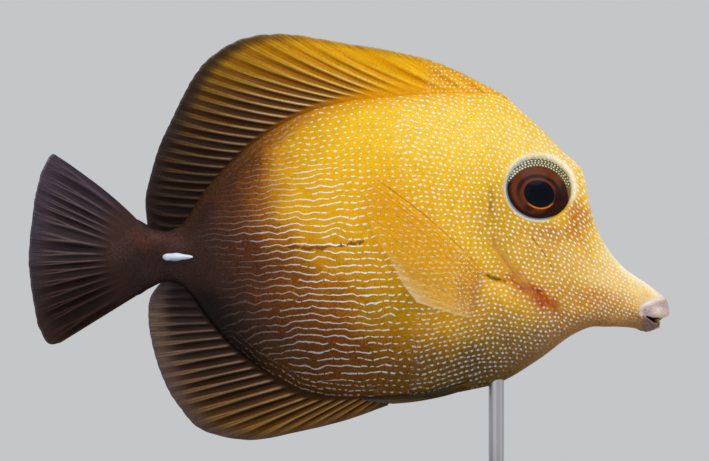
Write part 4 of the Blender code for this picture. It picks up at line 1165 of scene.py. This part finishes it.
finFinish = makeFinFinish("finMembrane", 0.42)
clearFinish = makeFinFinish("clearMembrane", 0.35)
for name, fin, slotName, node, finish in (
        ("dorsalFin", dorsalFin, "dorsal_fin", "dorsal_fin", finFinish),
        ("analFin", analFin, "anal_fin", "anal_fin", finFinish),
        ("caudalFin", caudalFin, "caudal_fin", "caudal_fin", finFinish),
        ("pectoralFin", pectoralFin, "pectoral_fin", "pectoral_fin_right", clearFinish),
        ("pelvicFin", pelvicFin, "pelvic_fin", "pelvic_fin_right", finFinish)):
    piece = buildFin(name, fin)
    piece.data.materials.append(finish)
    if node.endswith("_right"):
        twin = mirrorPiece(piece, name + "Left")
        piece.name = name + "Right"
        settle(twin, slotName, node.replace("_right", "_left"))
    settle(piece, slotName, node)


# The eyes
eyePaint = {
    "pupil": (4, 9, 22), "pupilRing": (120, 58, 22), "glow": (220, 122, 30), "band": (34, 15, 11),
    "iris": (98, 50, 28), "irisDark": (44, 19, 9), "irisWarm": (112, 54, 20), "outer": (44, 20, 12),
    "olive": (100, 86, 26),
    "gold": (120, 90, 36), "rim": (150, 160, 178), "dot": (214, 226, 216),
    "pupilCentre": (-0.25, -1.4), "pupilSize": (3.48, 2.9), "pupilTurn": -20,
    "crescentCentre": (-0.45, -2.1), "crescentRadius": 7.0, "dotPitch": 0.7, "dotRow": 0.54,
    "patches": [("irisWarm", (-0.2, -4.7), (1.5, 0.9), 0.8), ("irisDark", (-2.5, -4.4), (1.2, 1.0), 0.8),
                ("irisWarm", (-5.2, -0.8), (0.8, 2.6), 0.7)],
}


def buildEye():
    radius, curve = eye["radius"], eye["curve"]
    turns = np.linspace(0, math.asin(radius / curve), 41)
    profile = [(curve * math.sin(turn), eye["standsOut"] - curve * (1 - math.cos(turn))) for turn in turns]
    back = eye["standsOut"] - eye["depth"]
    profile += [(radius, (profile[-1][1] + back) / 2), (radius * 0.9, back), (0, back)]
    shape = spinProfile(profile, eye["sides"])
    out = Vector((eye["turn"][0], -1, eye["turn"][1])).normalized()
    ahead = Vector((0, 0, 1)).cross(out).normalized()
    up = out.cross(ahead)
    x, z = eye["centre"]
    centre = Vector((x, -float(fleshHalfWidth(np.array(x), np.array(z))), z))
    places = []
    for vertex in shape.verts:
        a, b, h = vertex.co.x * eye["wide"], vertex.co.y * eye["high"], vertex.co.z
        places.append((a, b, h))
        vertex.co = (centre + ahead * a + up * b + out * h) * mm
    piece = finishPiece("eyeRight", shape)
    writeVector(piece.data, "eyePlace", places)
    return piece


def makeEyeFinish():
    finish, tree, shader = startFinish("wetEye", 0.3, Coat_Weight=0.3, Coat_Roughness=0.05, Coat_IOR=1.25,
                                       Specular_IOR_Level=0.06)
    a, b, _ = splitVector(tree, readAttribute(tree, "eyePlace"))
    flatPlace = joinVector(tree, a, b, 0.0)

    def offset(centre):
        return minus(tree, a, centre[0]), minus(tree, b, centre[1])

    def length(first, second):
        return calc(tree, "SQRT", plus(tree, times(tree, first, first), times(tree, second, second)))

    turn = math.radians(eyePaint["pupilTurn"])
    px, pz = offset(eyePaint["pupilCentre"])
    major = plus(tree, times(tree, px, math.cos(turn)), times(tree, pz, math.sin(turn)))
    minor = minus(tree, times(tree, pz, math.cos(turn)), times(tree, px, math.sin(turn)))
    pupil = length(calc(tree, "DIVIDE", major, eyePaint["pupilSize"][0]),
                   calc(tree, "DIVIDE", minor, eyePaint["pupilSize"][1]))
    fibres = addNode(tree, "ShaderNodeTexNoise",
                     {"Vector": flatPlace, "Scale": 1.6, "Detail": 5.0, "Roughness": 0.7}).outputs[0]
    edge = length(calc(tree, "DIVIDE", a, eye["radius"] * eye["wide"]),
                  calc(tree, "DIVIDE", b, eye["radius"] * eye["high"]))
    lowRight = minus(tree, times(tree, a, 0.8), times(tree, b, 0.75))
    lowRight = timesPlus(tree, fibres, 1.6, lowRight)
    colour = mixColour(tree, softEdge(tree, lowRight, 2.6, 5.2), eyePaint["iris"], eyePaint["irisDark"])
    for tone, centre, reach, strength in eyePaint["patches"]:
        spotA, spotB = offset(centre)
        spot = length(calc(tree, "DIVIDE", spotA, reach[0]), calc(tree, "DIVIDE", spotB, reach[1]))
        colour = mixColour(tree, times(tree, softEdge(tree, spot, 1.4, 0.3), strength), colour,
                           eyePaint[tone])
    colour = mixColour(tree, times(tree, softEdge(tree, fibres, 0.45, 0.75), 0.4), colour, eyePaint["band"])
    colour = mixColour(tree, softEdge(tree, edge, 0.82, 0.92), colour, eyePaint["outer"])
    upward = softEdge(tree, pz, -2.5, 2.0)
    band = times(tree, softEdge(tree, calc(tree, "ABSOLUTE", minus(tree, pupil, 1.33)), 0.22, 0.05),
                timesPlus(tree, upward, 0.75, 0.15))
    colour = mixColour(tree, band, colour, eyePaint["band"])
    ringMask = times(tree, softEdge(tree, pupil, 1.06, 1.02), 0.5)
    colour = mixColour(tree, ringMask, colour, eyePaint["pupilRing"])
    glow = times(tree, softEdge(tree, pupil, 1.13, 1.06), softEdge(tree, pz, -1.6, -2.7))
    colour = mixColour(tree, glow, colour, eyePaint["glow"])
    cx, cz = offset(eyePaint["crescentCentre"])
    out = length(cx, cz)
    crescent = softEdge(tree, out, eyePaint["crescentRadius"] - 0.15, eyePaint["crescentRadius"] + 0.1)
    level = timesPlus(tree, a, 0.05, b)
    crescentTone = mixColour(tree, softEdge(tree, level, -0.4, 1.2), eyePaint["gold"], eyePaint["olive"])
    crescent = times(tree, crescent, softEdge(tree, timesPlus(tree, a, 0.3, b), -1.6, 1.2))
    colour = mixColour(tree, crescent, colour, crescentTone)
    around = times(tree, calc(tree, "ARCTAN2", cz, cx), 7.6 / eyePaint["dotPitch"])
    rows = calc(tree, "DIVIDE", minus(tree, out, eyePaint["crescentRadius"] - 0.03), eyePaint["dotRow"])
    dotRadius = timesPlus(tree, a, -0.006, 0.175)
    dots = useGroup(tree, markRows, {
        "Place": joinVector(tree, around, 2.0, rows), "Size": (eyePaint["dotPitch"], eyePaint["dotRow"], 0.0),
        "Weight": joinVector(tree, dotRadius, 0.15, softEdge(tree, level, 0.2, 1.4))})["Mark"]
    colour = mixColour(tree, times(tree, dots, crescent), colour, eyePaint["dot"])
    lid = softEdge(tree, minus(tree, times(tree, a, -0.75), times(tree, b, 0.6)), 0.5, 3.0)
    colour = mixColour(tree, times(tree, softEdge(tree, edge, 0.965, 0.99), lid), colour, eyePaint["rim"])
    colour = mixColour(tree, softEdge(tree, pupil, 1.03, 0.98), colour, eyePaint["pupil"])
    setSockets(tree, shader, Base_Color=colour, Roughness=timesPlus(tree, fibres, 0.3, 0.15))
    addBump(tree, shader, timesPlus(tree, dots, 0.4, fibres), 0.25, 0.1 * mm)
    return finish


eyeRight = buildEye()
eyeRight.data.materials.append(makeEyeFinish())
eyeLeft = mirrorPiece(eyeRight, "eyeLeft")
settle(eyeRight, "eye", "eye_right")
settle(eyeLeft, "eye", "eye_left")
print("eyes done")


# The spines on the tail's root
# tones for a painted highlight on the spine's top and painted shade underneath, and its pinkish root
tailSpine = {"centre": (-37.5, 60.3), "length": 6.8, "height": 2.0, "thick": 1.5, "taper": 0.3, "out": 0.25,
             "spineHighlight": (214, 224, 238), "shade": (120, 140, 176), "root": (176, 150, 168)}


def buildTailSpine():
    shape = bmesh.new()
    bmesh.ops.create_uvsphere(shape, u_segments=40, v_segments=30, radius=1)
    places = []
    for vertex in shape.verts:
        along, across, out = vertex.co.z, vertex.co.x, vertex.co.y
        taper = 1 - tailSpine["taper"] * (along + 1) / 2
        x = tailSpine["centre"][0] + (along * (0.7 if along < 0 else 1.3) - 0.3) * tailSpine["length"] / 2
        across += 0.25 * noise.noise(Vector((along * 2.4, across * 1.3, 4.0))) * (1 - along ** 2)
        z = tailSpine["centre"][1] + across * taper * tailSpine["height"] / 2
        skinY = float(fleshHalfWidth(np.array(x), np.array(tailSpine["centre"][1])))
        y = out * taper * tailSpine["thick"] / 2 - skinY - tailSpine["out"]
        places.append((along, across, out))
        vertex.co = Vector((x, y, z)) * mm
    piece = finishPiece("tailSpineRight", shape)
    writeVector(piece.data, "spinePlace", places)
    return piece


def makeSpineFinish():
    finish, tree, shader = startFinish("glossySpine", 0.22, Coat_Weight=0.6, Coat_Roughness=0.08)
    along, across, _ = splitVector(tree, readAttribute(tree, "spinePlace"))
    ripple = objectNoise(tree, 900.0, 2.0, (0.3, 1.0, 2.0))
    # lighter on top and blue-grey underneath: painted highlight and painted shade
    colour = mixColour(tree, softEdge(tree, timesPlus(tree, ripple, 1.2, across), 0.9, -0.4),
                       tailSpine["spineHighlight"], tailSpine["shade"])
    colour = mixColour(tree, times(tree, softEdge(tree, along, -0.6, -1.0), 0.8), colour, tailSpine["root"])
    setSockets(tree, shader, Base_Color=colour)
    addBump(tree, shader, ripple, 0.3, 0.08 * mm)
    return finish


spineRight = buildTailSpine()
spineRight.data.materials.append(makeSpineFinish())
spineLeft = mirrorPiece(spineRight, "tailSpineLeft")
settle(spineRight, "tail_spine", "tail_spine_right")
settle(spineLeft, "tail_spine", "tail_spine_left")


# The display stand
stand = {
    "size": (111.98, 61.98, 7.99), "corner": 14.0, "edge": 1.2,
    "rodX": 32.5, "rodRadius": 1.7, "rodTop": 36.0, "collarRadius": 4.2, "collarHeight": 2.4, "gap": 0.3,
    "sides": 64,
    "wood": (58, 36, 24), "grain": (28, 16, 11), "steel": (184, 184, 188),
}


def buildStandBase():
    length, width, height = stand["size"]
    shape = bmesh.new()
    bmesh.ops.create_cube(shape, size=1)
    bmesh.ops.scale(shape, vec=(length, width, height), verts=shape.verts)
    bmesh.ops.translate(shape, vec=(0, 0, height / 2), verts=shape.verts)
    upright = [edge for edge in shape.edges if abs(edge.verts[0].co.z - edge.verts[1].co.z) > height / 2]
    bmesh.ops.bevel(shape, geom=upright, offset=stand["corner"], segments=24, profile=0.5, affect="EDGES",
                    material=-1)
    rim = [edge for edge in shape.edges if min(spot.co.z for spot in edge.verts) > height - 0.1]
    bmesh.ops.bevel(shape, geom=rim, offset=stand["edge"], segments=6, profile=0.5, affect="EDGES",
                    material=-1)
    bmesh.ops.scale(shape, vec=(mm, mm, mm), verts=shape.verts)
    piece = finishPiece("standBase", shape, smooth=False)
    piece.data.shade_smooth()
    piece.data.set_sharp_from_angle(angle=math.radians(35))
    return piece


def buildStandRod():
    foot, rod, collar = stand["size"][2] + stand["gap"] / 3, stand["rodRadius"], stand["collarRadius"]
    high = stand["collarHeight"]
    profile = [(0, foot), (collar - 0.2, foot), (collar, foot + 0.2), (collar, foot + high * 0.55),
               (collar - 0.15, foot + high * 0.7), (collar * 0.82, foot + high - 0.1),
               (collar * 0.78, foot + high), (rod + 0.1, foot + high), (rod, foot + high + 0.1),
               (rod, stand["rodTop"]), (0, stand["rodTop"])]
    shape = spinProfile(profile, stand["sides"])
    bmesh.ops.translate(shape, vec=(stand["rodX"], 0, 0), verts=shape.verts)
    bmesh.ops.scale(shape, vec=(mm, mm, mm), verts=shape.verts)
    piece = finishPiece("standRod", shape)
    piece.data.set_sharp_from_angle(angle=math.radians(30))
    return piece


def makeWoodFinish():
    finish, tree, shader = startFinish("darkWood", 0.38, Coat_Weight=0.25, Coat_Roughness=0.25)
    grain = objectNoise(tree, 160.0, 6.0, (0.12, 1.0, 1.0))
    pores = objectNoise(tree, 1400.0, 3.0, (0.06, 1.0, 1.0))
    colour = mixColour(tree, softEdge(tree, grain, 0.35, 0.68), stand["wood"], stand["grain"])
    colour = mixColour(tree, times(tree, softEdge(tree, pores, 0.58, 0.7), 0.5), colour, stand["grain"])
    setSockets(tree, shader, Base_Color=colour, Roughness=timesPlus(tree, grain, 0.25, 0.27))
    addBump(tree, shader, minus(tree, grain, pores), 0.2, 0.15 * mm)
    return finish


def makeSteelFinish():
    finish, tree, shader = startFinish("brushedSteel", 0.3, Metallic=1.0)
    brush = objectNoise(tree, 900.0, 3.0, (1.0, 1.0, 0.05))
    smear = objectNoise(tree, 60.0, 2.0)
    colour = mixColour(tree, times(tree, smear, 0.35), stand["steel"], (150, 150, 156))
    setSockets(tree, shader, Base_Color=colour, Roughness=timesPlus(tree, brush, 0.2, 0.22))
    addBump(tree, shader, brush, 0.15, 0.03 * mm)
    return finish


standBase = buildStandBase()
standBase.data.materials.append(makeWoodFinish())
settle(standBase, "stand_wood", "stand_base")
standRod = buildStandRod()
standRod.data.materials.append(makeSteelFinish())
settle(standRod, "stand_steel", "stand_rod")
print("stand done")


# Floor, light and camera
studio = {
    "worldTone": (0.9, 0.91, 0.93),
    "floorRadius": 0.34, "floorTone": (226, 224, 220), "world": 0.62,
    "lights": {
        "keyAbove": ((0.15, -0.6, 0.75), 0.8, 3.9, (255, 250, 244)),
        "fillFront": ((-0.4, -0.9, 0.2), 0.9, 1.0, (250, 250, 255)),
        "noseSide": ((0.8, -0.2, 0.35), 0.6, 0.8, (255, 252, 246)),
        "rimBehind": ((-0.1, 0.7, 0.6), 0.8, 3.0, (250, 252, 255)),
    },
    "aim": (0, 0, 0.062), "cameraSpot": (0.0013, -1.3, 0.0661), "frameWidth": 0.156, "sensor": 36.0,
}


def buildStudio():
    shape = bmesh.new()
    bmesh.ops.create_circle(shape, cap_ends=True, segments=128, radius=studio["floorRadius"])
    floor = finishPiece("floor", shape, smooth=False)
    finish, tree, shader = startFinish("paleFloor", 0.7)
    speck = objectNoise(tree, 90.0, 3.0)
    tone = studio["floorTone"]
    setSockets(tree, shader, Base_Color=mixColour(tree, speck, tone, tuple(band - 6 for band in tone)))
    floor.data.materials.append(finish)
    world = bpy.data.worlds.new("studioAir")
    world.use_nodes = True
    ground = world.node_tree.nodes["Background"]
    ground.inputs[0].default_value = (*studio["worldTone"], 1)
    ground.inputs[1].default_value = studio["world"]
    bpy.context.scene.world = world
    aim = Vector(studio["aim"])
    for name, (spot, size, power, tone) in studio["lights"].items():
        lamp = bpy.data.lights.new(name, "AREA")
        lamp.shape = "DISK"
        lamp.size = size
        lamp.energy = power
        lamp.color = tuple(toLinear(np.array(tone, float)))
        holder = bpy.data.objects.new(name, lamp)
        holder.location = spot
        holder.rotation_euler = (aim - Vector(spot)).to_track_quat("-Z", "Y").to_euler()
        bpy.context.scene.collection.objects.link(holder)
    lens = bpy.data.cameras.new("camera")
    lens.sensor_width = studio["sensor"]
    lens.lens = studio["sensor"] * abs(studio["cameraSpot"][1]) / studio["frameWidth"]
    lens.clip_start = 0.01
    camera = bpy.data.objects.new("camera", lens)
    camera.location = studio["cameraSpot"]
    camera.rotation_euler = (math.pi / 2, 0, 0)
    bpy.context.scene.collection.objects.link(camera)
    bpy.context.scene.camera = camera
    bpy.context.scene.view_settings.view_transform = "Standard"


buildStudio()
print("studio done")
